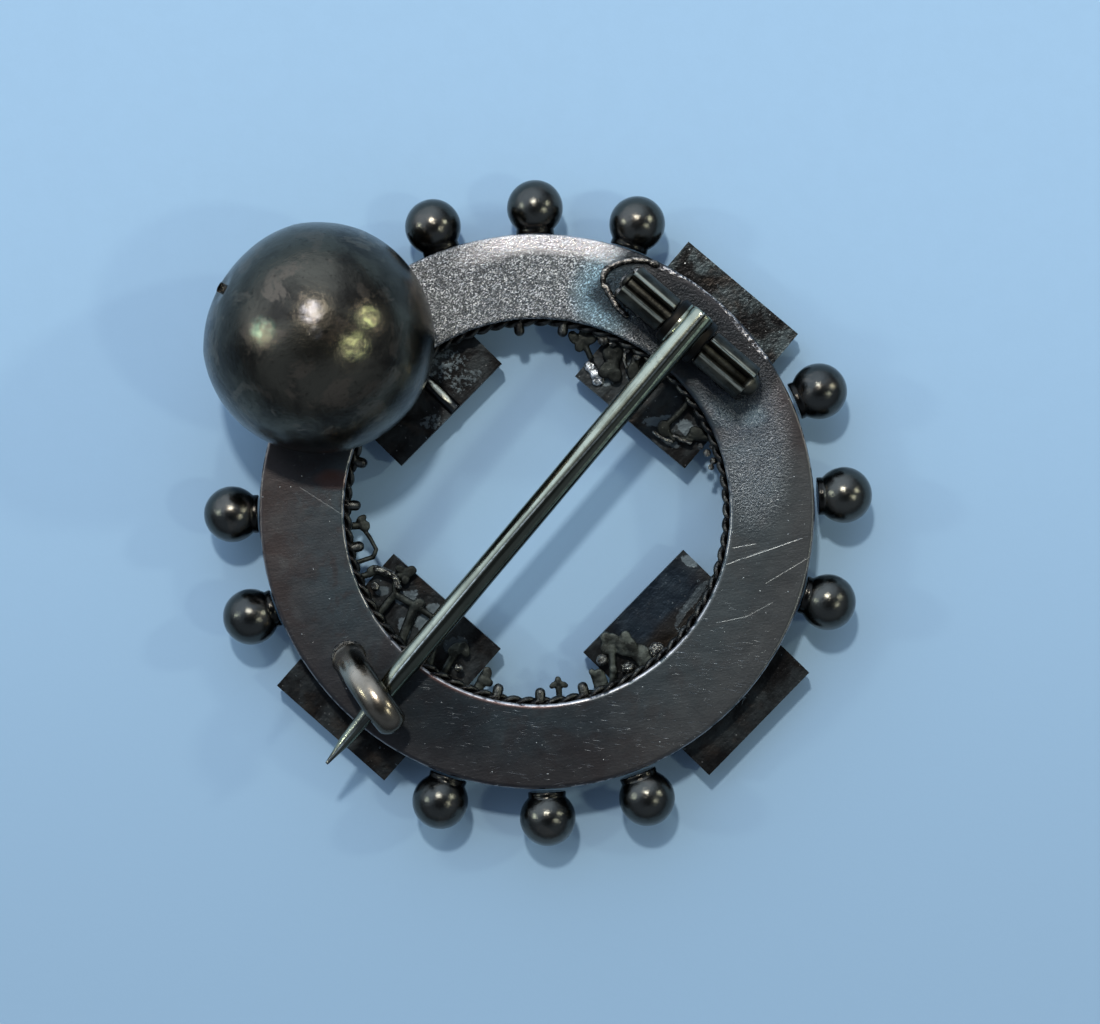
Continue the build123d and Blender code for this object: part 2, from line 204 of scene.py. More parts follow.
class Finish(Graph):
    """A metal finish on Object coordinates, which it counts in millimetres."""

    def __init__(self, name, tones):
        self.tones = tones
        self.material = bpy.data.materials.new(name)
        self.material.use_nodes = True
        super().__init__(self.material.node_tree)
        self.tree.nodes.clear()
        self.shader = self.node("ShaderNodeBsdfPrincipled", {"Metallic": 1.0})
        self.node("ShaderNodeOutputMaterial", {"Surface": self.shader})
        metres = self.node("ShaderNodeTexCoord").outputs["Object"]
        scaled = {0: metres, "Scale": 1 / MM}
        self.place = self.node("ShaderNodeVectorMath", scaled, operation="SCALE")
        self.x, self.y, self.z = self.parts(self.place)
        self.shade = None

    def radius(self):
        """The distance from the middle of the ring."""
        return (self.x * self.x + self.y * self.y) ** 0.5

    def cloud(self, scale, detail=4.0, rough=0.55, at=None, bend=0.0):
        """Noise from about 0.25 to 0.75; scale is in features per millimetre."""
        values = {"Scale": scale, "Detail": detail, "Roughness": rough, "Distortion": bend}
        values["Vector"] = at or self.place
        return self.num(self.node("ShaderNodeTexNoise", values))

    def drawn(self, turn, stretch, detail=3.0, rough=0.6, scale=1.0):
        """Noise turned about Z by degrees and stretched, as lines from drawing or rubbing."""
        values = {"Vector": self.place, "Rotation": (0, 0, math.radians(turn)), "Scale": stretch}
        place = self.node("ShaderNodeMapping", values, vector_type="TEXTURE")
        return self.cloud(scale, detail, rough, place)

    def sparks(self, scale):
        """A random number for each cell, and the distance to its middle."""
        made = self.node("ShaderNodeTexVoronoi", {"Vector": self.place, "Scale": scale})
        split = self.node("ShaderNodeSeparateColor", {0: made.outputs["Color"]})
        return self.num(split, 0), self.num(made)

    def across(self, x, y, turn):
        """How far off the upright plane through x, y that runs towards turn, to its left."""
        a = math.radians(turn)
        return (self.y - y) * math.cos(a) - (self.x - x) * math.sin(a)

    def spot(self, x, y, wide, high, soft=0.5, turn=0.0):
        """1 inside an oval at x, y, falling to 0 at its edge."""
        c, s = math.cos(math.radians(turn)), math.sin(math.radians(turn))
        u = ((self.x - x) * c + (self.y - y) * s) / wide
        v = ((self.y - y) * c - (self.x - x) * s) / high
        return (u * u + v * v).ramp(1.0, 1.0 - soft)

    def line(self, places, wide):
        """1 along a bent line of places, falling to 0 at its edge."""
        parts = [self.stroke(*a, *b, wide) for a, b in zip(places, places[1:])]
        made = parts[0]
        for part in parts[1:]:
            made = made.most(part)
        return made

    def stroke(self, x0, y0, x1, y1, wide):
        """1 along a straight line between two places, falling to 0 at its edge."""
        dx, dy = x1 - x0, y1 - y0
        length = math.hypot(dx, dy)
        along = ((self.x - x0) * dx + (self.y - y0) * dy) / length
        off = ((self.x - x0) * dy - (self.y - y0) * dx) / length
        out = (along * -1.0).most(along - length).most(0.0)
        return (off * off + out * out).ramp(wide * wide, 0.0)

    def mix(self, share, a, b):
        """A colour between a and b."""
        values = {0: share, 6: rgba(a), 7: rgba(b)}
        return self.node("ShaderNodeMix", values, data_type="RGBA").outputs[2]

    def lay(self, share, shade):
        """Lays a colour over those before it, by a share."""
        self.shade = self.mix(share, self.shade, shade)

    def bump(self, height, distance):
        """Relief of a height in millimetres times distance."""
        made = self.node("ShaderNodeBump", {"Distance": distance * MM, "Height": height})
        self.feed(self.shader.inputs["Normal"], made)

    def paint(self, roughness):
        """The finished material."""
        self.feed(self.shader.inputs["Base Color"], self.shade)
        self.feed(self.shader.inputs["Roughness"], roughness)
        return self.material


# finishes


SCRATCHES = (
    # from x, y, to x, y, strength
    (13.07, -3.61, 15.86, -2.58, 0.25),
    (14.27, -3.20, 18.23, -1.82, 0.35),
    (15.75, -4.92, 18.85, -3.06, 0.2),
    (13.48, -2.48, 15.06, -2.20, 0.25),
    (12.38, -7.64, 14.45, -7.19, 0.2),
    (14.45, -7.19, 16.24, -6.23, 0.15),
    (-16.31, 1.68, -13.42, -0.17, 0.15),
)
# the line of a painted highlight along the upper right outer rim
SPARKLE_LINE = ((8.3, 16.9), (10.7, 15.9), (12.55, 14.55), (14.2, 12.35), (15.75, 10.6))


def sheet_finish(f):
    """The back sheet: dark film, browner outside, a granular upper part, painted highlights and
    glints, and a painted shadow under the large ball.
    """
    radius = f.radius()
    films = f.cloud(0.16, 5.0, 0.62, bend=0.6)
    blotch = f.cloud(0.7, 5.0, 0.6)
    fine = f.cloud(5.5, 3.0, 0.6)
    dust = f.cloud(9.0, 2.0, 0.6)
    brush = f.drawn(8, (2.2, 0.09, 1.0))
    hair = f.drawn(14, (0.9, 0.03, 1.0), 2.0, 0.5)
    nicks = f.drawn(-8, (1.3, 0.06, 1.0), 2.0, 0.5).ramp(0.64, 0.71)
    nicks = nicks * f.cloud(1.1, 2.0, 0.5).ramp(0.48, 0.58) * f.spot(5.0, -12.5, 15.0, 9.0, 0.7)
    scratches = (hair.ramp(0.70, 0.78) * 0.25).most(nicks * 0.55)
    for x0, y0, x1, y1, strength in SCRATCHES:
        scratches = scratches.most(f.stroke(x0, y0, x1, y1, 0.05) * hair.ramp(0.3, 0.5) * strength)
    chance, reach = f.sparks(4.2)
    # pale specks painted as glints on the granular metal
    fleck_glints = f.drawn(35, (1.3, 0.9, 1.0), 3.0, 0.7, 9.0).ramp(0.47, 0.63)
    fleck_glints = fleck_glints * (f.cloud(1.3, 3.0, 0.6).ramp(0.3, 0.62) * 0.6 + 0.4)
    rare, near = f.sparks(2.6)
    specks = rare.ramp(0.88, 0.92) * near.ramp(0.15, 0.06)

    wander = (films - 0.5) * 6.0
    hinge_off = f.across(*HINGE[:2], HINGE_TURN)
    hinge_along = f.across(*HINGE[:2], HINGE_TURN - 90.0)
    by_hinge = hinge_off.size().ramp(3.1, 2.1) * hinge_along.size().ramp(7.4, 6.4)
    upper = (f.y + wander * 0.7).ramp(8.6, 10.4) * (f.x + wander * 0.5).ramp(9.0, 6.0)
    below_hinge = f.spot(13.6, 8.0, 3.6, 2.6, 0.9, -50)
    right = f.spot(15.0, 4.4, 3.2, 7.0, 0.95)
    grains = (upper + below_hinge + right * 0.5).least(1.0)
    # painted highlight: a pale pinkish band along the top of the outer edge, where it reflects the
    # main lamp
    top_highlight = upper * (radius + wander * 0.25).ramp(17.3, 18.3)
    top_highlight = top_highlight * f.x.ramp(-6.5, -1.5) * f.x.ramp(6.8, 4.0)
    glow = f.spot(4.9, 15.0, 3.1, 3.6, 0.9) + f.spot(13.9, 7.0, 2.4, 1.2, 0.9, -20) * 0.9
    lower = f.y.ramp(-3.0, -13.0) * f.x.ramp(10.0, 2.0)
    right_side = f.x.ramp(3.0, 12.0) * f.y.ramp(6.0, 2.0)
    # painted shadow and dark reflection of the large ball on the sheet below it
    ball_shadow = f.spot(-15.5, 5.2, 3.4, 3.8, 0.8)

    f.shade = f.mix((radius + wander * 0.6).ramp(14.8, 19.0), f.tones.slate, f.tones.plum)
    f.lay(films.ramp(0.42, 0.62) * 0.35, f.tones.plum)
    f.lay(blotch.ramp(0.5, 0.75) * 0.24, f.tones.grey)
    f.lay(f.cloud(0.45, 5.0, 0.65, bend=0.5).ramp(0.48, 0.62) * 0.45, (0.068, 0.048, 0.044))
    f.lay(f.cloud(1.9, 4.0, 0.7).ramp(0.55, 0.75) * 0.3, f.tones.dark)
    f.lay(lower * 0.45, (0.03, 0.037, 0.044))
    f.lay(f.spot(-7.5, -13.8, 6.0, 3.2, 0.9, -30) * 0.55, (0.022, 0.025, 0.029))
    f.lay(right_side * 0.6, (0.11, 0.12, 0.122))
    f.lay(upper * 0.85, (0.088, 0.088, 0.086))
    f.lay(below_hinge * 0.6, (0.13, 0.14, 0.15))
    f.lay(top_highlight * (fleck_glints * 0.3 + 0.7) * 0.9, (1.0, 0.86, 0.80))
    f.lay(glow * (fleck_glints * 0.3 + 0.3), (0.2, 0.33, 0.38))
    f.lay(right * 0.4, (0.085, 0.1, 0.12))
    # painted glints: pale specks on the upper part, blue-green in the blue glow, and fainter below
    # the hinge and on the right
    f.lay(upper * fleck_glints * 0.8, f.mix(glow.least(1.0), (0.86, 0.82, 0.79), (0.46, 0.66, 0.75)))
    f.lay(below_hinge.most(right * 0.45) * fleck_glints * 0.5, (0.42, 0.42, 0.42))
    # painted shadow of the large ball
    f.lay(ball_shadow * 0.7, (0.022, 0.02, 0.022))
    f.lay(f.spot(11.8, 14.0, 4.0, 1.5, 0.8, -40) * 0.7, (0.04, 0.042, 0.048))
    f.lay(by_hinge * 0.85, (0.023, 0.025, 0.028))
    f.lay(by_hinge * fine.ramp(0.56, 0.66) * 0.14, (0.11, 0.10, 0.095))
    # painted reddish reflection of the large ball, at the foot of its painted shadow
    f.lay(f.spot(-14.0, 2.2, 1.6, 0.9, 0.9) * 0.6, f.tones.ball_reflection)
    # painted highlights on the rims: the inner rim's lower half and the outer rim's top, which face
    # the main lamp
    inner_rim_sheen = radius.ramp(SHEET_INNER + 0.19, SHEET_INNER + 0.10) * f.y.ramp(6.5, 2.0)
    inner_rim_sheen = inner_rim_sheen * (f.y.ramp(-4.0, -11.0) * 0.6 + 0.4)
    outer_rim_sheen = radius.ramp(SHEET_OUTER - 0.13, SHEET_OUTER - 0.05) * f.y.ramp(11.0, 7.0)
    # the rims' painted highlights, broken up by noise
    worn = (inner_rim_sheen + outer_rim_sheen * 0.35) * f.cloud(1.1, 3.0, 0.6).ramp(0.38, 0.52)
    reddish = radius.ramp(SHEET_INNER + 0.42, SHEET_INNER + 0.2) * f.y.ramp(-9.0, -11.0)
    reddish = reddish * f.x.ramp(4.0, 0.0)
    f.lay(reddish * 0.4, (0.13, 0.05, 0.035))
    # painted highlight along the upper right outer rim
    rim_glint = f.line(SPARKLE_LINE, 0.22) * f.cloud(3.4, 3.0, 0.6).ramp(0.42, 0.56)
    f.lay(worn.most(rim_glint * 0.8), (0.75, 0.68, 0.65))
    f.lay((specks + scratches).least(1.0) * 0.7, f.tones.pale)

    rough = brush * 0.10 + 0.27 + grains * 0.02 + blotch * 0.06 - top_highlight * 0.16
    relief = (
        brush * 0.02
        + scratches * -0.15
        + blotch * 0.05
        + fine * 0.05
        + specks * 0.12
        + grains * (fine * 0.6 + dust * 0.45 + chance * reach.ramp(0.3, 0.0) * 0.5)
        + rim_glint * fine * 0.6
        + by_hinge * fine * 0.18
    )
    f.bump(relief, 0.15)
    return rough


PALE_MARKS = (
    # x, y, half width, half height, turn, strength
    (-6.35, 10.2, 1.6, 1.0, 30, 0.9),
    (-5.0, 9.2, 1.2, 0.8, 30, 0.6),
    (-7.2, 6.2, 1.0, 0.5, 0, 0.6),
    (10.54, -3.43, 0.62, 0.36, -40, 1.0),
    (5.0, 9.26, 0.8, 0.55, 40, 0.7),
    (6.7, 9.75, 0.55, 0.9, 10, 0.6),
    (8.25, 6.3, 1.15, 0.4, 8, 0.8),
    (10.4, 5.8, 0.75, 0.55, -40, 0.8),
    (9.1, 4.9, 0.9, 0.3, -30, 0.5),
    (-10.76, -5.5, 0.5, 0.4, 0, 0.6),
    (-9.1, -5.93, 0.85, 0.5, 20, 0.85),
    (-9.23, -8.15, 0.4, 0.85, 8, 0.9),
    (-7.9, -7.7, 0.6, 0.55, 30, 0.85),
    (-7.15, -6.83, 0.55, 0.5, 0, 0.8),
    (-11.45, -3.57, 0.4, 0.4, 0, 0.5),
    (-5.6, -9.3, 0.9, 0.7, 0, 0.35),
    (10.9, -6.0, 1.5, 0.3, 52, 0.45),
    (10.0, -7.2, 0.8, 0.3, 60, 0.35),
)


def plate_finish(f):
    """The plates' backs: almost black, clouded brown and blue-grey, with pale blue-grey marks,
    painted glints and a painted highlight.
    """
    radius = f.radius()
    clouds = f.cloud(0.42, 5.0, 0.6, bend=0.4)
    warm = f.cloud(0.6, 4.0, 0.55, bend=0.3)
    speck = f.cloud(3.2, 3.0, 0.65)
    draw = f.drawn(48, (1.8, 0.2, 1.0))
    chance, reach = f.sparks(3.4)
    glint = chance.ramp(0.84, 0.92) * reach.ramp(0.24, 0.1)
    outside = radius.ramp(18.0, 19.5)
    ragged = (f.cloud(1.5, 4.0, 0.7, bend=0.8) - 0.5) * 2.4
    ne_outer = outside * f.x.ramp(0.0, 4.0) * f.y.ramp(0.0, 4.0)
    se_inner = f.spot(8.2, -6.4, 2.6, 4.6, 0.8, -45)
    f.shade = f.mix(clouds.ramp(0.36, 0.66), (0.016, 0.015, 0.015), (0.045, 0.05, 0.052))
    f.lay(warm.ramp(0.52, 0.74) * 0.45, (0.055, 0.042, 0.034))
    f.lay(se_inner * 0.6, (0.025, 0.04, 0.06))
    f.lay(f.spot(9.4, -8.2, 1.2, 3.4, 0.8, -45) * 0.6, (0.035, 0.026, 0.018))
    f.lay(ne_outer * clouds.ramp(0.38, 0.62) * warm.ramp(0.62, 0.42), (0.075, 0.092, 0.096))
    f.lay(speck.ramp(0.64, 0.74) * 0.3, f.tones.grey)
    for x, y, wide, high, turn, strength in PALE_MARKS:
        mark = (f.spot(x, y, wide * 1.35, high * 1.35, 1.0, turn) + ragged).ramp(0.4, 0.72)
        if x < 0 < y:
            mark = mark * speck.ramp(0.46, 0.6)
        f.lay(mark * strength * 0.8, (0.2, 0.24, 0.26))
    # painted highlight on the top of the raised end on the north-west plate
    stub_highlight = f.z.ramp(2.55, 2.75) * f.spot(-6.7, 8.3, 1.2, 0.26, 0.6, -45)
    f.lay(stub_highlight * speck.ramp(0.3, 0.55), (0.75, 0.72, 0.58))
    f.lay(glint * (ne_outer * 0.6 + 0.25), f.tones.pale)
    f.bump(clouds * 0.4 + draw * 0.12 + speck * (ne_outer * 0.3 + 0.18), 0.10)
    return clouds * 0.2 + 0.25


BALL_SHINE = (
    # painted highlights on the large ball: x, y, half width, colour of the highlight
    (-14.87, 13.2, 1.0, (0.16, 0.16, 0.19)),
    (-14.6, 11.8, 0.6, (0.30, 0.29, 0.30)),
    (-18.2, 12.0, 1.15, (0.22, 0.32, 0.22)),
    (-11.2, 12.87, 1.0, (0.46, 0.48, 0.24)),
    (-12.0, 10.98, 1.25, (0.50, 0.50, 0.25)),
)


def ball_finish(f):
    """Balls: dark brown-grey tarnish, clouded, with lighter worn places and mottling, painted shade
    on the collars and painted highlights on the large ball.
    """
    clouds = f.cloud(0.20, 5.0, 0.6, bend=0.8)
    worn = f.cloud(0.42, 5.0, 0.6, bend=0.6)
    scuff = f.drawn(35, (0.8, 0.2, 0.6))
    speck = f.cloud(2.4, 5.0, 0.75)
    mottle = f.cloud(1.6, 4.0, 0.65)
    f.shade = f.mix(clouds.ramp(0.36, 0.64), (0.036, 0.031, 0.025), (0.092, 0.080, 0.060))
    f.lay(worn.ramp(0.53, 0.60) * 0.75, (0.135, 0.104, 0.076))
    f.lay(speck.ramp(0.54, 0.70) * 0.6, (0.018, 0.016, 0.013))
    small = f.z.ramp(5.9, 5.3)
    f.lay(small * 0.6, (0.082, 0.083, 0.076))
    radius = f.radius()
    # painted shade on the small balls' collars, between the balls and the sheet
    collar = radius.ramp(19.98, 19.72) * f.spot(-14.83, 11.79, 8.3, 8.3, 0.03).ramp(1.0, 0.0)
    f.lay(collar * 0.85, (0.012, 0.011, 0.010))
    # each row paints a highlight on the large ball
    for x, y, wide, film in BALL_SHINE:
        shine = f.spot(x, y, wide, wide, 0.9) * f.z.ramp(8.0, 10.0)
        f.lay(shine * (mottle.ramp(0.40, 0.60) * 0.26 + 0.05), film)
    f.bump(clouds * 0.5 + scuff * 0.08 + speck * 0.2 + mottle * 0.14, 0.10)
    return scuff * 0.06 + speck * 0.12 + 0.14 - small * 0.05


def rope_finish(f):
    """Twisted wire: black, lighter on its inner side, which stands out from under the sheet."""
    radius = f.radius()
    out = f.cloud(1.6, 4.0, 0.6)
    crown = (radius * -1.0 + 13.2).ramp(-0.05, 0.36)
    f.shade = f.mix(crown * 0.7 * out.ramp(0.3, 0.6), (0.012, 0.011, 0.011), (0.11, 0.11, 0.10))
    f.lay(f.cloud(4.0, 2.0, 0.6).ramp(0.64, 0.72) * 0.6, f.tones.grey)
    f.bump(f.cloud(6.0, 3.0, 0.6), 0.05)
    return out * 0.25 + 0.2


def leaf_finish(f):
    """Cut leaves: grey-green film, darker at the top, dull."""
    clouds = f.cloud(1.1, 4.0, 0.6, bend=0.4)
    speck = f.cloud(4.0, 4.0, 0.7)
    lit = f.y.ramp(6.0, -3.0) * 0.8 * (f.x.ramp(-3.0, 2.0) * 0.6 + 0.4) + 0.2
    f.shade = f.mix(clouds.ramp(0.38, 0.64) * lit, (0.020, 0.021, 0.019), (0.078, 0.085, 0.075))
    f.lay(speck.ramp(0.60, 0.72) * 0.4, (0.2, 0.2, 0.17))
    f.bump(clouds * 0.4 + speck * 0.3, 0.08)
    return clouds * 0.2 + 0.42


def granule_finish(f):
    """Granules and bits of wire: sparkling, half worn."""
    speck = f.cloud(4.5, 4.0, 0.75)
    f.shade = f.mix(speck.ramp(0.42, 0.6), (0.026, 0.024, 0.021), (0.34, 0.32, 0.28))
    f.bump(speck, 0.12)
    return speck * 0.2 + 0.12


def hinge_finish(f):
    """Hinge tubes: dark, with a painted highlight on the ribs beside the open seam."""
    clouds = f.cloud(0.55, 4.0, 0.6, bend=0.3)
    brush = f.drawn(HINGE_TURN, (2.4, 0.15, 0.5))
    speck = f.cloud(3.0, 4.0, 0.7)
    off = f.across(*HINGE[:2], HINGE_TURN).size()
    # painted highlight on the ribs beside the seam, on the tubes' tops
    rib_highlight = off.ramp(0.46, 0.54) * off.ramp(0.84, 0.70) * f.z.ramp(7.2, 7.6)
    f.shade = f.mix(clouds.ramp(0.36, 0.64), (0.03, 0.028, 0.023), (0.085, 0.08, 0.064))
    f.lay(rib_highlight * brush.ramp(0.30, 0.55) * 0.85, (0.52, 0.50, 0.40))
    f.lay(speck.ramp(0.58, 0.72) * 0.6, (0.014, 0.014, 0.013))
    f.bump(brush * 0.16 + speck * 0.3 + clouds * 0.3, 0.10)
    return brush * 0.16 + 0.38


def hook_finish(f):
    """The hook: a painted pale reflection on its back near the root, painted shade along its rims,
    dark beside its root and darker towards its end.
    """
    clouds = f.cloud(0.5, 4.0, 0.6, bend=0.3)
    speck = f.cloud(2.6, 4.0, 0.7)
    off = f.across(*HOOK_FOOT[:2], HOOK_TURN)
    along = f.across(*HOOK_FOOT[:2], HOOK_TURN - 90.0)
    f.shade = f.mix(clouds.ramp(0.36, 0.64), (0.14, 0.112, 0.082), (0.24, 0.198, 0.15))
    # painted pale reflection on the hook's upper side near its root
    f.lay(along.ramp(2.2, 0.6) * off.ramp(0.5, -0.1) * 0.8, (0.40, 0.335, 0.26))
    # painted shade along the hook's rims
    f.lay(off.size().ramp(0.66, 1.05) * 0.75 * along.ramp(0.2, 1.6), (0.05, 0.045, 0.038))
    f.lay(along.ramp(2.4, 4.6) * 0.55, (0.085, 0.075, 0.06))
    f.lay(f.spot(-12.3, -9.8, 0.95, 0.42, 0.5, -54.6) * 0.8, (0.03, 0.028, 0.026))
    f.lay(speck.ramp(0.58, 0.74) * 0.5, (0.05, 0.045, 0.04))
    f.bump(speck * 0.12 + clouds * 0.3, 0.10)
    return clouds * 0.1 + 0.18


def pin_finish(f):
    """Pin stem: pale upper-left side, a painted highlight line, a painted yellow-green reflection,
    painted shade on its lower-right side and under the hook, dark knuckle.
    """
    draw = f.drawn(50, (8.0, 0.10, 0.3))
    clouds = f.cloud(0.3, 4.0, 0.6)
    speck = f.cloud(2.6, 4.0, 0.75)
    off = f.across(*STEM_START[:2], STEM_TURN) * -1.0 + 0.02
    along = f.across(*STEM_START[:2], STEM_TURN - 90.0)
    f.shade = f.mix(clouds.ramp(0.36, 0.64), f.tones.brass, (0.26, 0.26, 0.19))
    far = along.ramp(6.0, 22.0) * along.ramp(36.0, 32.0)
    edge = off - far * 0.28
    # painted shade on the stem's lower-right side
    f.lay(edge.ramp(0.22, -0.12) * 0.88, (0.052, 0.054, 0.042))
    # painted highlight line along the stem
    bright = edge.ramp(-0.17, -0.11) * edge.ramp(-0.01, -0.06)
    bright = bright * (speck.ramp(0.38, 0.58) * 0.6 + 0.4)
    f.lay(bright * 0.75, (0.9, 0.92, 0.84))
    # painted yellow-green reflection in a streak along the stem
    reflected_streak = off.ramp(-0.42, -0.48) * off.ramp(-0.68, -0.60) * draw.ramp(0.36, 0.5)
    reflected_streak = reflected_streak * (far * -0.75 + 0.9) * (speck.ramp(0.35, 0.6) * 0.5 + 0.5)
    f.lay(reflected_streak * 0.75, (0.52, 0.62, 0.42))
    f.lay(speck.ramp(0.56, 0.7) * 0.4, (0.10, 0.10, 0.085))
    f.lay(draw.ramp(0.58, 0.7) * 0.4, (0.14, 0.14, 0.115))
    knuckle = off.size().ramp(0.925, 0.96) * along.ramp(6.0, 4.0)
    f.lay(knuckle, (0.014, 0.012, 0.010))
    f.lay(along.ramp(38.7, 39.7) * 0.7, (0.05, 0.04, 0.036))
    # painted dark reflection of the hook where the stem runs under it
    f.lay(along.ramp(33.0, 34.6) * along.ramp(37.6, 36.4) * 0.7, (0.05, 0.05, 0.045))
    f.feed(f.shader.inputs["Metallic"], reflected_streak * -0.35 + 1.0)
    f.bump(draw * 0.12 + speck * 0.12, 0.08)
    return draw * 0.12 + clouds * 0.06 + 0.09 + knuckle * 0.3


def solder_finish(f):
    """Solder: lumpy and bright."""
    speck = f.cloud(3.0, 4.0, 0.7)
    f.shade = f.mix(speck.ramp(0.42, 0.62), (0.22, 0.22, 0.21), (0.95, 0.92, 0.88))
    f.bump(speck, 0.14)
    return speck * 0.2 + 0.14


def dark_solder_finish(f):
    """Solder by the hinge and the hook: tarnished, with a painted highlight on its ridges by the
    hinge.
    """
    speck = f.cloud(3.0, 4.0, 0.7)
    ridge = f.z.ramp(4.86, 4.98) * f.y.ramp(12.0, 14.0) * f.x.ramp(8.6, 7.6)
    f.shade = f.mix(speck.ramp(0.4, 0.65), (0.02, 0.019, 0.018), (0.085, 0.08, 0.072))
    # painted highlight on the tops of the solder ridges by the hinge
    f.lay(ridge * speck.ramp(0.40, 0.55) * 0.6, (0.35, 0.31, 0.27))
    f.bump(speck, 0.08)
    return speck * 0.2 + 0.16


def paper_finish(f):
    """Pale blue paper, with painted shade deepening towards the bottom of the view."""
    # painted shade: the paper darker towards the bottom of the view, as the light weakens
    painted_falloff = f.y.ramp(-44.0, 40.0)
    f.shade = f.mix(painted_falloff, tuple(v * 0.76 for v in f.tones.paper), f.tones.paper)
    f.lay(f.cloud(0.5, 5.0, 0.75).ramp(0.35, 0.65) * 0.08, tuple(v * 0.8 for v in f.tones.paper))
    f.feed(f.shader.inputs["Metallic"], 0.0)
    f.bump(f.cloud(1.2, 4.0, 0.7), 0.01)
    return 0.9


FINISHES = {
    # name of the material, what paints it and gives its roughness
    "sheet": ("tarnished_sheet", sheet_finish),
    "plates": ("plate_back", plate_finish),
    "balls": ("dark_ball", ball_finish),
    "rope": ("worn_rope", rope_finish),
    "leaves": ("leaf_silver", leaf_finish),
    "granules": ("granule_silver", granule_finish),
    "hinge": ("hinge_silver", hinge_finish),
    "hook": ("hook_silver", hook_finish),
    "pin": ("bright_pin", pin_finish),
    "solder": ("solder", solder_finish),
    "dark_solder": ("dark_solder", dark_solder_finish),
    "paper": ("pale_paper", paper_finish),
}
made_finishes = {}


def finish_of(key):
    """The finish of that name, made once."""
    if key not in made_finishes:
        name, painted = FINISHES[key]
        f = Finish(name, bpy.context.scene.brooch_colours)
        made_finishes[key] = f.paint(painted(f))
    return made_finishes[key]


# mesh helpers


def polar(radius, bearing, z=0.0):
    """A place by its distance from the middle and its bearing in degrees."""
    a = math.radians(bearing)
    return Vector((radius * math.cos(a), radius * math.sin(a), z))


def circle(sides):
    """The cosine and sine of so many even steps round."""
    turns = [2 * math.pi * j / sides for j in range(sides)]
    return [(math.cos(t), math.sin(t)) for t in turns]


def grain(point, scale, seed=0.0):
    """Smooth noise from about -1 to 1 at a place in millimetres."""
    return noise.noise(Vector(point) * scale + Vector((seed, seed * 1.7, -seed)))


def linked(name, data):
    """An object in the scene."""
    thing = bpy.data.objects.new(name, data)
    bpy.context.scene.collection.objects.link(thing)
    return thing


def plain_mesh(thing):
    """An object's mesh as its modifiers leave it; the object is taken away."""
    ready = thing.evaluated_get(bpy.context.evaluated_depsgraph_get())
    made = bpy.data.meshes.new_from_object(ready)
    thing.modifiers.clear()
    bpy.data.objects.remove(thing)
    return made


def places_mesh(places):
    """A mesh of single points in metres, for copies to stand on."""
    mesh = bpy.data.meshes.new("places")
    mesh.from_pydata([tuple(p) for p in places], [], [])
    return mesh


def piece(name, made, finish, nodes=(), angle=None, body=BODY):
    """Links a finished mesh or lump as a piece of the object."""
    mesh = made.mesh(name) if isinstance(made, Lump) else made
    thing = linked(name, mesh)
    mesh.materials.clear()
    mesh.materials.append(finish_of(finish))
    mesh.shade_smooth()
    if angle:
        mesh.set_sharp_from_angle(angle=math.radians(angle))
    if nodes:
        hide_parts(*nodes)
    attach(thing, body)


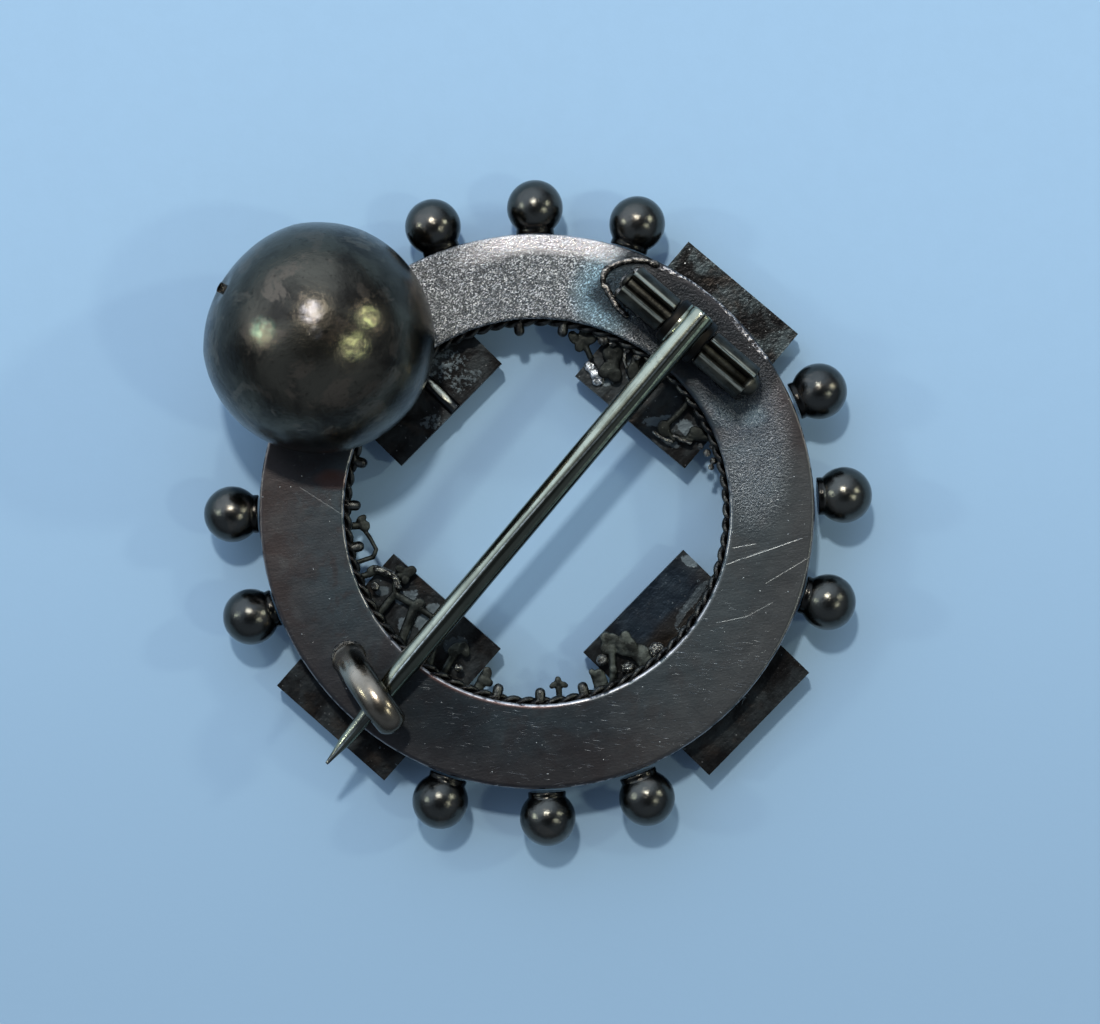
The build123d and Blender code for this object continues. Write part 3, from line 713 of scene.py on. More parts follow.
class Lump:
    """Points and faces gathered for one mesh."""

    def __init__(self, rings=()):
        self.points = []
        self.faces = []
        if rings:
            self.rings(rings)

    def rings(self, rings, caps=True, wrap=False):
        """Joins rings of as many points each, and caps the ends or joins them too."""
        sides, count, start = len(rings[0]), len(rings), len(self.points)
        self.points += [Vector(p) for ring in rings for p in ring]
        for i in range(count if wrap else count - 1):
            a, b = start + i * sides, start + (i + 1) % count * sides
            for j in range(sides):
                k = (j + 1) % sides
                self.faces.append((a + j, a + k, b + k, b + j))
        if caps and not wrap:
            last = start + (count - 1) * sides
            self.faces.append(tuple(start + j for j in reversed(range(sides))))
            self.faces.append(tuple(last + j for j in range(sides)))

    def tube(self, path, radii, sides=24, flat=1.0, up=UP, round_ends=0.0):
        """A round bar along a path; radii may be one number or one for each point."""
        path = [Vector(p) for p in path]
        if not hasattr(radii, "__len__"):
            radii = [radii] * len(path)
        last = len(path) - 1
        rings = []
        for i, (spot, radius) in enumerate(zip(path, radii)):
            ahead = (path[min(i + 1, last)] - path[max(i - 1, 0)]).normalized()
            side = ahead.cross(up)
            if side.length < 1e-4:
                side = ahead.cross(Vector((1, 0, 0)))
            side.normalize()
            over = side.cross(ahead)
            ring = [spot + (side * c + over * s * flat) * radius for c, s in circle(sides)]
            end = []
            if round_ends and i in (0, last):
                for step in ROUND_END_STEPS:
                    shrink = math.sqrt(1 - step * step)
                    shift = ahead * ((1 if i else -1) * step * radius * round_ends)
                    end.append([spot + (p - spot) * shrink + shift for p in ring])
            rings += [ring, *end] if i else [*reversed(end), ring]
        self.rings(rings)

    def ball(self, centre, radius, squash, steps=12):
        """A round or oval lump."""
        wide, deep, high = (radius * part for part in squash)
        rings = []
        for i in range(1, steps // 2):
            t = math.pi * i / (steps // 2)
            out, z = math.sin(t), high * math.cos(t)
            ring = [Vector((wide * out * c, deep * out * s, z)) for c, s in circle(steps)]
            rings.append([centre + p for p in ring])
        start = len(self.points)
        self.rings(rings, caps=False)
        top = len(self.points)
        last = top - steps
        self.points += [centre + UP * high, centre - UP * high]
        for j in range(steps):
            k = (j + 1) % steps
            self.faces += [(start + j, start + k, top), (last + k, last + j, top + 1)]

    def mesh(self, name):
        """The finished mesh, joined where points meet and with its faces outwards."""
        mesh = bpy.data.meshes.new(name)
        mesh.from_pydata([tuple(p * MM) for p in self.points], [], self.faces)
        bm = bmesh.new()
        bm.from_mesh(mesh)
        bmesh.ops.remove_doubles(bm, verts=bm.verts, dist=1e-7)
        bmesh.ops.recalc_face_normals(bm, faces=bm.faces)
        bm.to_mesh(mesh)
        bm.free()
        return mesh


def settled(lump, voxel, smooth, roughness=0.0):
    """Lumps run together, as solder does, on a fine grid of voxels, and roughened."""
    thing = linked("settling", lump.mesh("settling"))
    remesh = thing.modifiers.new("flow", "REMESH")
    remesh.mode = "VOXEL"
    remesh.voxel_size = voxel * MM
    ease = thing.modifiers.new("ease", "SMOOTH")
    ease.factor = 0.5
    ease.iterations = smooth
    made = plain_mesh(thing)
    if roughness:
        ways = [v.normal.copy() for v in made.vertices]
        for v, way in zip(made.vertices, ways):
            lift = roughness * grain(v.co / MM, 1.6, 3.0) - roughness / 2
            v.co += way * lift * MM
    return made


class Grower(Graph):
    """A Geometry Nodes tree with named inputs, ending in Realize Instances and Set Material."""

    def __init__(self, name, sizes):
        super().__init__(bpy.data.node_groups.new(name, "GeometryNodeTree"))
        self.sizes = sizes
        self.master = None
        face = self.tree.interface
        for way in ("INPUT", "OUTPUT"):
            face.new_socket("Geometry", in_out=way, socket_type="NodeSocketGeometry")
        for label, value in sizes.items():
            kind = "NodeSocketInt" if isinstance(value, int) else "NodeSocketFloat"
            face.new_socket(label, in_out="INPUT", socket_type=kind)
        self.inputs = self.node("NodeGroupInput")
        self.outputs = self.node("NodeGroupOutput")

    def of(self, label):
        return Num(self, self.inputs.outputs[label])

    def copies(self, shape, **values):
        """A shape on every point that comes in."""
        values = {"Points": self.inputs, "Instance": shape, **values}
        placed = self.node("GeometryNodeInstanceOnPoints", values)
        return self.node("GeometryNodeRealizeInstances", {0: placed})

    def turned_copies(self, lump):
        """A lump on every point, turned to look away from the middle."""
        self.master = linked("master_shape", lump.mesh("master_shape"))
        info = self.node("GeometryNodeObjectInfo", {"Object": self.master})
        x, y, _ = self.parts(self.node("GeometryNodeInputPosition"))
        turn = self.node("ShaderNodeCombineXYZ", {2: y.bearing(x)})
        return self.copies(info.outputs["Geometry"], Rotation=turn, Scale=self.of("Size"))

    def lumps(self, scale):
        """Noise at each point of a mesh."""
        place = self.node("GeometryNodeInputPosition")
        return self.num(self.node("ShaderNodeTexNoise", {"Vector": place, "Scale": scale}))

    def pushed(self, geometry, amount):
        """Geometry with its points moved outwards by an amount in millimetres."""
        normal = self.node("GeometryNodeInputNormal")
        values = {0: normal, "Scale": amount * MM}
        push = self.node("ShaderNodeVectorMath", values, operation="SCALE")
        return self.node("GeometryNodeSetPosition", {"Geometry": geometry, "Offset": push})

    def grow(self, geometry, finish, holder):
        """Ends the tree, runs it on a mesh of points and gives back plain mesh."""
        real = self.node("GeometryNodeRealizeInstances", {0: geometry})
        values = {"Geometry": real, "Material": finish_of(finish)}
        self.feed(self.outputs.inputs[0], self.node("GeometryNodeSetMaterial", values))
        thing = linked("growing", holder)
        modifier = thing.modifiers.new("grow", "NODES")
        modifier.node_group = self.tree
        for item in self.tree.interface.items_tree:
            if item.in_out == "INPUT" and item.name in self.sizes:
                modifier[item.identifier] = self.sizes[item.name]
        made = plain_mesh(thing)
        if self.master:
            bpy.data.objects.remove(self.master)
        return made


# places, as the CAD has them

RING_MIDDLE = 16.205
BALL_PLACES = (
    # bearing, distance from the middle
    (110.1, 20.97),
    (90.4, 21.01),
    (70.8, 21.07),
    (23.1, 21.22),
    (3.1, 21.28),
    (-17.3, 21.09),
    (-69.0, 21.24),
    (-88.0, 21.23),
    (-108.5, 21.13),
    (-159.8, 21.10),
    (-179.5, 21.11),
)
BIG_BEARING = 141.5
BIG_DISTANCE = 18.944
PEG_BEARINGS = (95.6, 81.9, 164.5, 178.1, 191.1, 257.7, 271.0, 284.6)
HINGE_LEVEL = 6.6
HINGE = polar(0.9886 * RING_MIDDLE, 50.2, HINGE_LEVEL)
HINGE_TURN = -40.7
ALONG = polar(1.0, HINGE_TURN)
ACROSS = polar(1.0, HINGE_TURN + 90.0)
STEM_TURN = 230.0
STEM_LENGTH = 2.476 * RING_MIDDLE
STEM_START = HINGE - polar(1.6, STEM_TURN)
STEM_BOW = (
    # share of the length, how far the middle line stands off to the lower right
    (0.0, 0.12),
    (0.15, 0.03),
    (0.3, -0.015),
    (0.8, -0.015),
    (0.91, 0.08),
    (1.0, 0.12),
)
STEM_SECTIONS = (
    # share of the length, thickness
    (0.0, 1.82),
    (0.2, 1.75),
    (0.76, 1.71),
    (0.80, 1.56),
    (0.91, 1.03),
    (0.95, 0.84),
    (0.975, 0.5),
    (1.0, 0.22),
)
HOOK_FOOT = polar(1.0127 * RING_MIDDLE, 217.9, SHEET_TOP)
HOOK_TURN = -54.6
HOOK_SPAN = 5.6
HOOK_RISE = 3.32
HOOK_PATH = (
    # share of the span, share of the rise
    (0.0, 0.03),
    (0.07, 0.32),
    (0.24, 0.67),
    (0.47, 0.92),
    (0.7, 1.0),
    (0.89, 0.9),
    (1.0, 0.72),
)


def between(rows, share):
    """The value at a share, in straight steps between the rows."""
    for (a, va), (b, vb) in zip(rows, rows[1:]):
        if share <= b:
            return va + (vb - va) * (share - a) / (b - a)
    return rows[-1][1]


def smooth_path(points, steps):
    """A smooth line through points, with so many steps between each two."""
    points = [Vector(p) for p in points]
    points = [2 * points[0] - points[1], *points, 2 * points[-1] - points[-2]]
    line = []
    for a, b, c, d in zip(points, points[1:], points[2:], points[3:]):
        bend, twist = 2 * a - 5 * b + 4 * c - d, 3 * b - a - 3 * c + d
        for i in range(steps):
            t = i / steps
            line.append(0.5 * (2 * b + (c - a) * t + bend * t**2 + twist * t**3))
    line.append(points[-2])
    return line


def from_hinge(along, across, up):
    """A place counted from the hinge's middle."""
    return HINGE + ALONG * along + ACROSS * across + UP * up


# pieces

EDGE = 0.2  # radius of the sheet's rolled edges
STEPS_ACROSS = 44
STEPS_ROUND = 1200
SAG, DENT, WAVE = 0.035, 0.012, 0.04  # depths of the sheet's bends and dents, and its rims' waves


class BROOCH_OT_sheet(bpy.types.Operator):
    """The flat back sheet: rolled edges, dents and a pitted part, cut where the large ball sits"""

    bl_idname = "brooch.sheet"
    bl_label = "Back sheet"

    def section(self, s):
        """Radius and height along the sheet's section, from the inner edge right round."""
        inner, outer, top = s.sheet_inner, s.sheet_outer, s.sheet_top
        low = top - s.sheet_thickness
        flat = outer - inner - 2 * EDGE

        def rolled(middle, angles):
            turns = [math.radians(a) for a in angles]
            return [
                (middle + EDGE * math.cos(t), top - EDGE + EDGE * math.sin(t)) for t in turns
            ]

        return [
            *((inner + EDGE + flat * i / STEPS_ACROSS, top) for i in range(STEPS_ACROSS + 1)),
            *rolled(outer - EDGE, (60, 30, 0)),
            *((outer, low + 0.05), (outer - 0.05, low), (outer - 2, low)),
            *((inner + 2, low), (inner + 0.05, low), (inner, low + 0.05)),
            *rolled(inner + EDGE, (180, 150, 120)),
        ]

    def execute(self, context):
        s = context.scene.brooch_sizes
        ball = polar(BIG_DISTANCE, BIG_BEARING).length
        room = s.big_ball / 2 + 0.07
        section = self.section(s)
        rings = []
        for i in range(STEPS_ROUND + 1):
            ring = []
            for radius, z in section:
                level = ball**2 + radius**2 - (room**2 - (room - z) ** 2)
                half = math.degrees(math.acos(level / (2 * radius * ball)))
                bearing = BIG_BEARING + half + (360 - 2 * half) * i / STEPS_ROUND
                rim = min(radius - s.sheet_inner, s.sheet_outer - radius)
                p = polar(radius, bearing, z)
                if z > s.sheet_top - EDGE * 0.6:
                    p.z -= SAG * (1 + grain(p, 0.25)) * 0.5
                    p.z -= DENT * max(0.0, grain(p, 0.9, 3.0)) * min(1.0, rim)
                if rim < 0.2:
                    wave = WAVE * abs(grain((bearing * 0.35, radius, 0), 1.0))
                    p += polar(wave if radius < RING_MIDDLE else -wave, bearing)
                ring.append(p)
            rings.append(ring)
        piece("back_sheet_face", Lump(rings), "sheet", ("back_sheet",), 50)
        return {"FINISHED"}


class BROOCH_OT_rope(bpy.types.Operator):
    """The two-strand rope under the sheet's inner edge, and its pegs"""

    bl_idname = "brooch.rope"
    bl_label = "Rope and pegs"

    def strands(self, s, half_gap):
        """Two wires wound round each other, from one side of the large ball to the other."""
        span = math.radians(360 - 2 * half_gap)
        turns = round(span * s.rope_radius / s.rope_pitch)
        sizes = {
            "Radius": s.rope_radius,
            "Level": s.rope_level,
            "Strand": s.rope_wire * 0.265,
            "Offset": s.rope_wire * 0.235,
            "Start": math.radians(BIG_BEARING + half_gap),
            "Span": span,
            "Turns": turns,
            "Points": turns * 20,
            "Phase": 0.6,
        }
        g = Grower("rope_of_two_strands", sizes)
        share = g.num(g.node("GeometryNodeInputIndex")) / (g.of("Points") - 1.0)
        bearing = g.of("Start") + share * g.of("Span")
        both = g.node("GeometryNodeJoinGeometry")
        for strand in (0.0, math.pi):
            phase = share * g.of("Turns") * (2 * math.pi) + g.of("Phase") + strand
            radius = g.of("Radius") + g.of("Offset") * phase.cosine()
            height = (g.of("Level") + g.of("Offset") * phase.sine()) * MM
            x, y = radius * bearing.cosine() * MM, radius * bearing.sine() * MM
            place = g.node("ShaderNodeCombineXYZ", {0: x, 1: y, 2: height})
            line = g.node("GeometryNodeMeshLine", {"Count": g.of("Points")})
            bent = g.node("GeometryNodeSetPosition", {"Geometry": line, "Position": place})
            curve = g.node("GeometryNodeMeshToCurve", {0: bent})
            values = {"Resolution": 10, "Radius": g.of("Strand") * MM}
            ring = g.node("GeometryNodeCurvePrimitiveCircle", values)
            values = {"Curve": curve, "Profile Curve": ring, "Fill Caps": True}
            g.feed(both.inputs[0], g.node("GeometryNodeCurveToMesh", values))
        smooth = g.node("GeometryNodeSetShadeSmooth", {"Geometry": both})
        return g.grow(smooth, "rope", places_mesh([]))

    def pegs(self, s):
        """Short round-ended rods that stand in from the rope."""
        r = s.peg_wire / 2
        rod = Lump()
        end = -(s.rope_wire / 2 + s.peg_reach) + r
        rod.tube([(0.1, 0, 0), (-0.5, 0, 0), (end, 0, 0)], r, 20, round_ends=1.0)
        g = Grower("pegs_on_the_rope", {"Size": 1.0})
        places = [polar(s.rope_radius, b, s.rope_level) * MM for b in PEG_BEARINGS]
        return g.grow(g.turned_copies(rod), "rope", places_mesh(places))

    def execute(self, context):
        s = context.scene.brooch_sizes
        room = s.big_ball / 2 + 0.05 + s.rope_wire / 2
        rise = s.big_ball / 2 - s.rope_level
        level = s.rope_radius**2 + BIG_DISTANCE**2 + rise**2 - room**2
        half_gap = math.degrees(math.acos(level / (2 * s.rope_radius * BIG_DISTANCE))) + 0.4
        piece("rope_strands", self.strands(s, half_gap), "rope", ("inner_rope",))
        piece("rope_pegs", self.pegs(s), "rope")
        return {"FINISHED"}


class BROOCH_OT_small_balls(bpy.types.Operator):
    """The eleven small balls, each with its collar"""

    bl_idname = "brooch.small_balls"
    bl_label = "Small balls"

    def execute(self, context):
        s = context.scene.brooch_sizes
        r, neck = s.small_ball / 2, s.collar / 2
        meet = -math.sqrt(r * r - neck * neck)
        section = [
            # distance from the ball's middle, radius
            (-1.86, neck - 0.16),
            (-1.86, neck - 0.05),
            (-1.80, neck),
            (-1.62, neck),
            (meet - 0.04, neck - 0.02),
        ]
        turns = [math.acos(meet / r) * (1 - i / 40) for i in range(1, 40)]
        section += [(r * math.cos(t), r * math.sin(t)) for t in turns]
        shape = Lump([[(x, out * c, out * u) for c, u in circle(64)] for x, out in section])
        g = Grower("balls_round_the_rim", {"Dent": 0.045, "Dent size": 0.55, "Size": 1.0})
        balls = g.turned_copies(shape)
        dents = (g.lumps(g.of("Dent size") * 1000.0) - 0.8).least(0.0) * g.of("Dent")
        places = [polar(d, b, s.small_level) * MM for b, d in BALL_PLACES]
        made = g.grow(g.pushed(balls, dents), "balls", places_mesh(places))
        nodes = [f"small_ball_{i:02d}" for i in range(1, len(BALL_PLACES) + 1)]
        piece("rim_balls", made, "balls", nodes)
        return {"FINISHED"}


VENT_BEARING = 153.0
VENT_RISE = math.radians(19)
BALL_WALL = 0.5
FLAT_BEARING = 145  # the large ball's flattened side
FLAT_HALF = 43


class BROOCH_OT_big_ball(bpy.types.Operator):
    """The large hollow ball: slightly out of round, dented, with its vent hole"""

    bl_idname = "brooch.big_ball"
    bl_label = "Large ball"

    def dent(self, way, angle):
        """How far the skin is off the round, by direction and angle from the vent."""
        off = math.degrees(math.atan2(way.y, way.x)) % 360 - FLAT_BEARING
        low = 1 - abs(way.z) ** 2
        flat = -0.3 * max(0.0, math.cos(math.radians(off * 2.1))) * low
        if abs(off) > FLAT_HALF:
            flat = 0.0
        vent = -0.16 * math.exp(-((angle / 0.11) ** 2))
        lips = 0.03 * math.exp(-(((angle - 0.16) / 0.05) ** 2))
        soft = 0.07 * (grain(way, 1.5, 5.0) - 0.6)
        fine = 0.02 * (grain(way, 5.0, 9.0) - 0.6)
        return min(0.0, flat + vent + lips + soft + fine)

    def execute(self, context):
        s = context.scene.brooch_sizes
        radius = s.big_ball / 2
        centre = polar(BIG_DISTANCE, BIG_BEARING, radius + 0.02)
        axis = polar(math.cos(VENT_RISE), VENT_BEARING, math.sin(VENT_RISE))
        side = axis.cross(UP).normalized()
        over = side.cross(axis)
        hole = math.asin(s.vent / 2 / radius)
        inside = radius - BALL_WALL
        end = math.pi - 0.012
        rows = [(math.pi - (math.pi - hole) * i / 12, inside, False) for i in range(1, 12)]
        rows += [(hole, inside, False), (hole, radius - 0.12, False)]
        rows += [(hole + (end - hole) * (i / 119) ** 1.15, radius, True) for i in range(120)]
        rings = []
        for angle, r, skin in rows:
            ring = []
            for c, u in circle(160):
                way = (side * c + over * u) * math.sin(angle) + axis * math.cos(angle)
                ring.append(centre + way * (r + (self.dent(way, angle) if skin else 0.0)))
            rings.append(ring)
        piece("large_ball", Lump(rings), "balls", ("big_ball",))
        return {"FINISHED"}


BORE = 0.5
SOLDER_LEVEL = 4.84
SEAM_LIP = 0.2
TUBE_ENDS = ((0.0, 0.93), (0.03, 0.965), (0.1, 0.995))  # distance from the end, part of the radius
RIVET = (
    # places along, radii, sides, roundness of the ends
    ((-5.45, -5.0, 0.0, 5.5), (0.43, 0.44, 0.44, 0.44), 24, 0.0),
    ((-5.34, -5.5), (0.62, 0.5), 24, 0.3),
    ((5.56, 5.7, 6.0), (0.9, 0.86, 0.62), 28, 0.4),
)
SOLDER_RIDGES = (
    # places x, y along each thin ridge of solder round the end of the first tube
    (
        *((4.62, 15.5), (4.54, 15.93), (4.68, 16.5), (5.02, 16.8)),
        *((5.85, 17.15), (6.68, 17.3), (7.5, 17.25), (8.2, 17.0)),
    ),
    ((4.75, 15.45), (5.02, 14.9), (5.51, 14.1), (6.1, 13.5)),
)


class BROOCH_OT_hinge(bpy.types.Operator):
    """The two fixed hinge tubes with their open seams, the rivet and the solder"""

    bl_idname = "brooch.hinge"
    bl_label = "Hinge"

    def section(self, s):
        """The tube's section: round outside, open at the seam, and the bore inside."""
        outer, edge = s.tube / 2, s.tube_seam / 2
        opening = math.asin(edge / outer)
        first, last = math.pi / 2 + opening + 0.16, 2.5 * math.pi - opening - 0.16
        turns = [first + (last - first) * i / 48 for i in range(49)]
        section = [(outer * math.cos(t), outer * math.sin(t)) for t in turns]
        corner = math.sqrt(outer**2 - (edge + SEAM_LIP) ** 2)
        lip = [
            (edge + SEAM_LIP * 0.7, corner + 0.08),
            (edge + 0.03, corner - 0.08),
            (edge, corner - 0.35),
            (edge, 0.55),
        ]
        turns = [math.radians(50) - math.radians(280) * i / 12 for i in range(13)]
        bore = [(BORE * math.cos(t), BORE * math.sin(t)) for t in turns]
        return [*section, *lip, *bore, *((-x, y) for x, y in reversed(lip))]

    def tube(self, name, start, end, node, s):
        stations = [(start + off, grow) for off, grow in TUBE_ENDS]
        stations += [(start + (end - start) * i / 16, 1.0) for i in range(1, 16)]
        stations += [(end - off, grow) for off, grow in reversed(TUBE_ENDS)]
        section = self.section(s)
        rings = []
        for along, grow in stations:
            ring = []
            for x, y in section:
                wear = 1 + 0.012 * (grain((along, x, y), 0.9) - 0.5)
                k = grow * wear if math.hypot(x, y) > BORE + 0.1 else 1.0
                ring.append(from_hinge(along, x * k, y * k))
            rings.append(ring)
        piece(name, Lump(rings), "hinge", (node,), 55)

    def solder(self):
        """Solder along both sides of the tubes, and the ridges that ran out from it."""
        flow = Lump()
        rng = random.Random(11)
        base = SOLDER_LEVEL - HINGE_LEVEL
        for start, end in ((-5.2, -1.75), (1.75, 5.4)):
            for i in range(17):
                a = start + (end - start) * i / 16
                for sign in (-1, 1):
                    place = from_hinge(a, sign * (0.8 + rng.random() * 0.2), base + 0.2)
                    flow.ball(place, 0.34 + rng.random() * 0.12, (1, 1, 0.95))
                flow.ball(from_hinge(a, 0.0, base + 0.3), 0.55, (1.2, 1.2, 0.6))
        for ridge in SOLDER_RIDGES:
            line = smooth_path([(x, y, SHEET_TOP + 0.04) for x, y in ridge], 10)
            radii = [0.24 + 0.07 * grain(p, 1.2, 6.0) for p in line]
            flow.tube(line, radii, 12, flat=0.9, round_ends=1.0)
        return settled(flow, 0.07, 3)

    def execute(self, context):
        s = context.scene.brooch_sizes
        self.tube("hinge_tube_a", -5.28, -1.63, "hinge_tube_left", s)
        self.tube("hinge_tube_b", 1.63, 5.51, "hinge_tube_right", s)
        rivet = Lump()
        for along, radii, sides, ends in RIVET:
            path = [from_hinge(a, 0, 0) for a in along]
            rivet.tube(path, radii, sides, round_ends=ends)
        piece("hinge_rivet_heads", rivet, "hinge", ("hinge_rivet",))
        piece("hinge_solder", self.solder(), "dark_solder")
        return {"FINISHED"}


STEM_RISE = 1.3  # the stem's middle above the hinge's, at its flat end
STEM_TIP = 1.05  # the tip's middle above the sheet
STEM_END = ((0.0, 0.9), (0.0012, 0.965), (0.003, 0.99))  # share of the length, part of the radius
KNUCKLE_HALF = 1.53


class BROOCH_OT_pin(bpy.types.Operator):
    """The pin stem with its knuckle, which turns on the rivet"""

    bl_idname = "brooch.pin"
    bl_label = "Pin"

    def stem(self, shape):
        level = HINGE.z + STEM_RISE
        drop = level - SHEET_TOP - STEM_TIP
        path, radii = [], []
        for share, part in (*STEM_END, *((0.006 + 0.994 * i / 90, 1.0) for i in range(91))):
            spot = STEM_START + polar(share * STEM_LENGTH, STEM_TURN)
            spot += polar(between(STEM_BOW, share), STEM_TURN + 90.0)
            spot.z = level - drop * share**2
            path.append(spot)
            radius = between(STEM_SECTIONS, share) / 2
            if share < 0.95:
                radius *= 1 + 0.012 * grain(spot, 0.35, 2.0)
            radii.append(radius * part)
        shape.tube(path, radii, 40)

    def knuckle(self, shape, r):
        """The moving knuckle, from rows of distance in from each end and radius."""
        rows = ((0.0, BORE), (0.0, r - 0.22), (0.06, r - 0.08), (0.2, r), (0.9, r + 0.01))
        section = [(-KNUCKLE_HALF + off, radius) for off, radius in rows]
        section += [(KNUCKLE_HALF - off, radius) for off, radius in reversed(rows)]
        rings = []
        for along, radius in section:
            ring = []
            for c, u in circle(56):
                x, y = radius * c, radius * u
                k = 1 + 0.012 * (grain((along, x, y), 0.8, 7.0) - 0.6) if radius > BORE else 1
                ring.append(from_hinge(along, x * k, y * k))
            rings.append(ring)
        shape.rings(rings, wrap=True)

    def execute(self, context):
        shape = Lump()
        self.stem(shape)
        self.knuckle(shape, context.scene.brooch_sizes.knuckle / 2)
        piece("pin_and_knuckle", shape, "pin", ("pin_stem",), 50, PIN)
        return {"FINISHED"}


class BROOCH_OT_hook(bpy.types.Operator):
    """The bent hook over the stem's end, and the solder at its foot"""

    bl_idname = "brooch.hook"
    bl_label = "Hook"

    def execute(self, context):
        s = context.scene.brooch_sizes
        ahead = polar(1.0, HOOK_TURN)
        path = [HOOK_FOOT + ahead * (a * HOOK_SPAN) + UP * (h * HOOK_RISE) for a, h in HOOK_PATH]
        line = smooth_path(path, 14)
        radii = []
        for p in line:
            left, done = (line[-1] - p).length, (p - line[0]).length
            radius = s.hook_thick / 2 * (1 + 0.02 * (grain(p, 0.5, 4.0) - 0.8))
            radius *= math.sqrt(max(0.02, 1 - (1 - min(1.0, left / 0.62)) ** 2))
            radius *= 1 + 0.14 * max(0.0, 1 - done / 0.7) ** 2
            radii.append(radius)
        shape = Lump()
        shape.tube(line, radii, 40, flat=s.hook_wide / s.hook_thick, up=ahead.cross(UP))
        piece("hook_wire", shape, "hook", ("catch_hook",), 60)
        flow = Lump()
        for i in range(26):
            foot = polar(0.98, 360 * i / 26)
            radius = 0.2 + 0.05 * grain(foot, 0.9, 2.0)
            flow.ball(HOOK_FOOT + foot + UP * 0.04, radius, (1.3, 1.3, 0.6))
        piece("hook_solder", settled(flow, 0.06, 4), "dark_solder")
        return {"FINISHED"}


# the cut leaves, by angle and reach inwards from the rope's middle
LEAF_FOOT_RADIUS = 13.22
LEAF_BANDS = {
    # from angle, to angle of the strip that joins a spray to the rope
    "leaf_ne": (14, 80),
    "leaf_se": (-72, -47),
    "leaf_sw": (-161.6, -104),
    "leaf_w": (-178, -164.4),
    "leaf_s": (-86, -80),
}
LEAF_BARS = {
    # from angle, from reach, to angle, to reach, width
    "leaf_ne": (
        (74.5, 0.0, 75.5, 1.0, 0.9),
        (75.0, 0.9, 70.8, 1.9, 0.5),
        (63.5, 0.0, 64.5, 1.2, 1.5),
        (64.0, 1.0, 60.8, 2.2, 0.8),
        (58.0, 0.0, 56.0, 1.2, 0.7),
        (36.0, 0.0, 34.5, 1.4, 0.5),
        (34.5, 1.4, 33.4, 2.9, 0.5),
        (33.8, 2.6, 27.7, 2.5, 0.4),
        (28.7, 2.3, 24.6, 1.4, 0.4),
        (22.7, 0.0, 26.3, 1.4, 0.6),
    ),
    "leaf_se": (
        (-66.2, 0.0, -61.5, 2.4, 0.55),
        (-61.8, 2.2, -59.6, 2.9, 0.7),
        (-53.0, 0.0, -54.2, 1.2, 1.4),
        (-54.2, 1.1, -58.2, 2.0, 1.0),
        (-56.6, 0.0, -54.6, 0.9, 0.6),
        (-66.6, 0.0, -64.4, 1.1, 0.5),
        (-69.8, 0.0, -69.6, 1.1, 1.1),
    ),
    "leaf_sw": (
        (-159.6, 0.0, -159.4, 1.4, 0.5),
        (-159.4, 1.4, -155.2, 2.4, 0.5),
        (-155.2, 2.4, -150.0, 1.8, 0.5),
        (-150.0, 1.8, -147.0, 0.0, 0.6),
        (-155.2, 2.4, -155.0, 3.3, 0.5),
        (-150.0, 1.8, -142.5, 2.5, 0.6),
        (-142.5, 2.5, -136.0, 0.0, 0.7),
        (-142.5, 2.5, -131.8, 3.0, 0.5),
        (-131.8, 3.0, -125.0, 0.0, 0.7),
        (-120.0, 0.0, -120.2, 2.0, 0.6),
        (-108.6, 0.0, -107.4, 1.4, 0.8),
    ),
    "leaf_w": (
        (-175.6, 0.0, -175.4, 1.0, 0.6),
        (-175.0, 1.0, -171.8, 1.4, 0.34),
        (-171.8, 1.4, -166.8, 1.75, 0.34),
        (-166.8, 1.75, -164.4, 1.4, 0.34),
        (-164.4, 1.4, -164.2, 0.0, 0.4),
    ),
    "leaf_s": (
        (-83.2, 0.0, -82.9, 1.2, 0.5),
    ),
}
LEAF_LOBES = {
    # angle, reach, length, width, turn
    "leaf_ne": (
        (78.2, 0.85, 1.0, 0.7, 40),
        (75.6, 1.35, 0.9, 0.7, 0),
        (73.2, 0.75, 1.2, 0.8, -50),
        (63.6, 2.2, 1.5, 1.1, -25),
        (60.3, 2.3, 1.1, 1.0, 20),
        (55.6, 1.4, 1.3, 0.9, 30),
        (33.1, 2.7, 1.3, 0.9, 60),
        (26.3, 0.8, 1.2, 0.8, -50),
    ),
    "leaf_se": (
        (-61.3, 3.1, 1.1, 0.9, 10),
        (-63.3, 2.6, 1.0, 0.8, -40),
        (-59.0, 2.9, 0.9, 0.8, 30),
        (-54.8, 2.5, 1.0, 0.8, -20),
        (-57.6, 2.3, 0.9, 0.8, 30),
        (-55.0, 1.9, 1.4, 0.9, 0),
        (-64.2, 1.0, 0.7, 0.6, 0),
        (-70.9, 1.35, 0.7, 0.5, 25),
        (-69.0, 1.25, 0.6, 0.5, -25),
    ),
    "leaf_sw": (
        (-160.4, 1.1, 0.9, 0.7, 10),
        (-154.6, 3.4, 1.1, 0.8, 10),
        (-157.2, 2.9, 0.8, 0.6, -40),
        (-152.6, 2.9, 0.8, 0.6, 40),
        (-142.0, 2.7, 1.1, 0.8, 0),
        (-131.4, 3.1, 1.2, 0.9, 30),
        (-120.4, 2.1, 1.3, 0.9, -30),
        (-117.6, 2.4, 1.2, 0.7, 40),
        (-107.2, 1.5, 0.9, 0.7, 20),
        (-107.0, 0.9, 1.2, 0.7, 80),
    ),
    "leaf_w": (
        (-177.6, 1.0, 0.8, 0.5, 30),
        (-175.2, 1.2, 0.8, 0.8, 0),
    ),
    "leaf_s": (
        (-82.9, 1.35, 0.7, 0.5, 0),
        (-84.6, 1.1, 0.7, 0.45, -60),
        (-81.2, 1.05, 0.7, 0.45, 60),
    ),
}

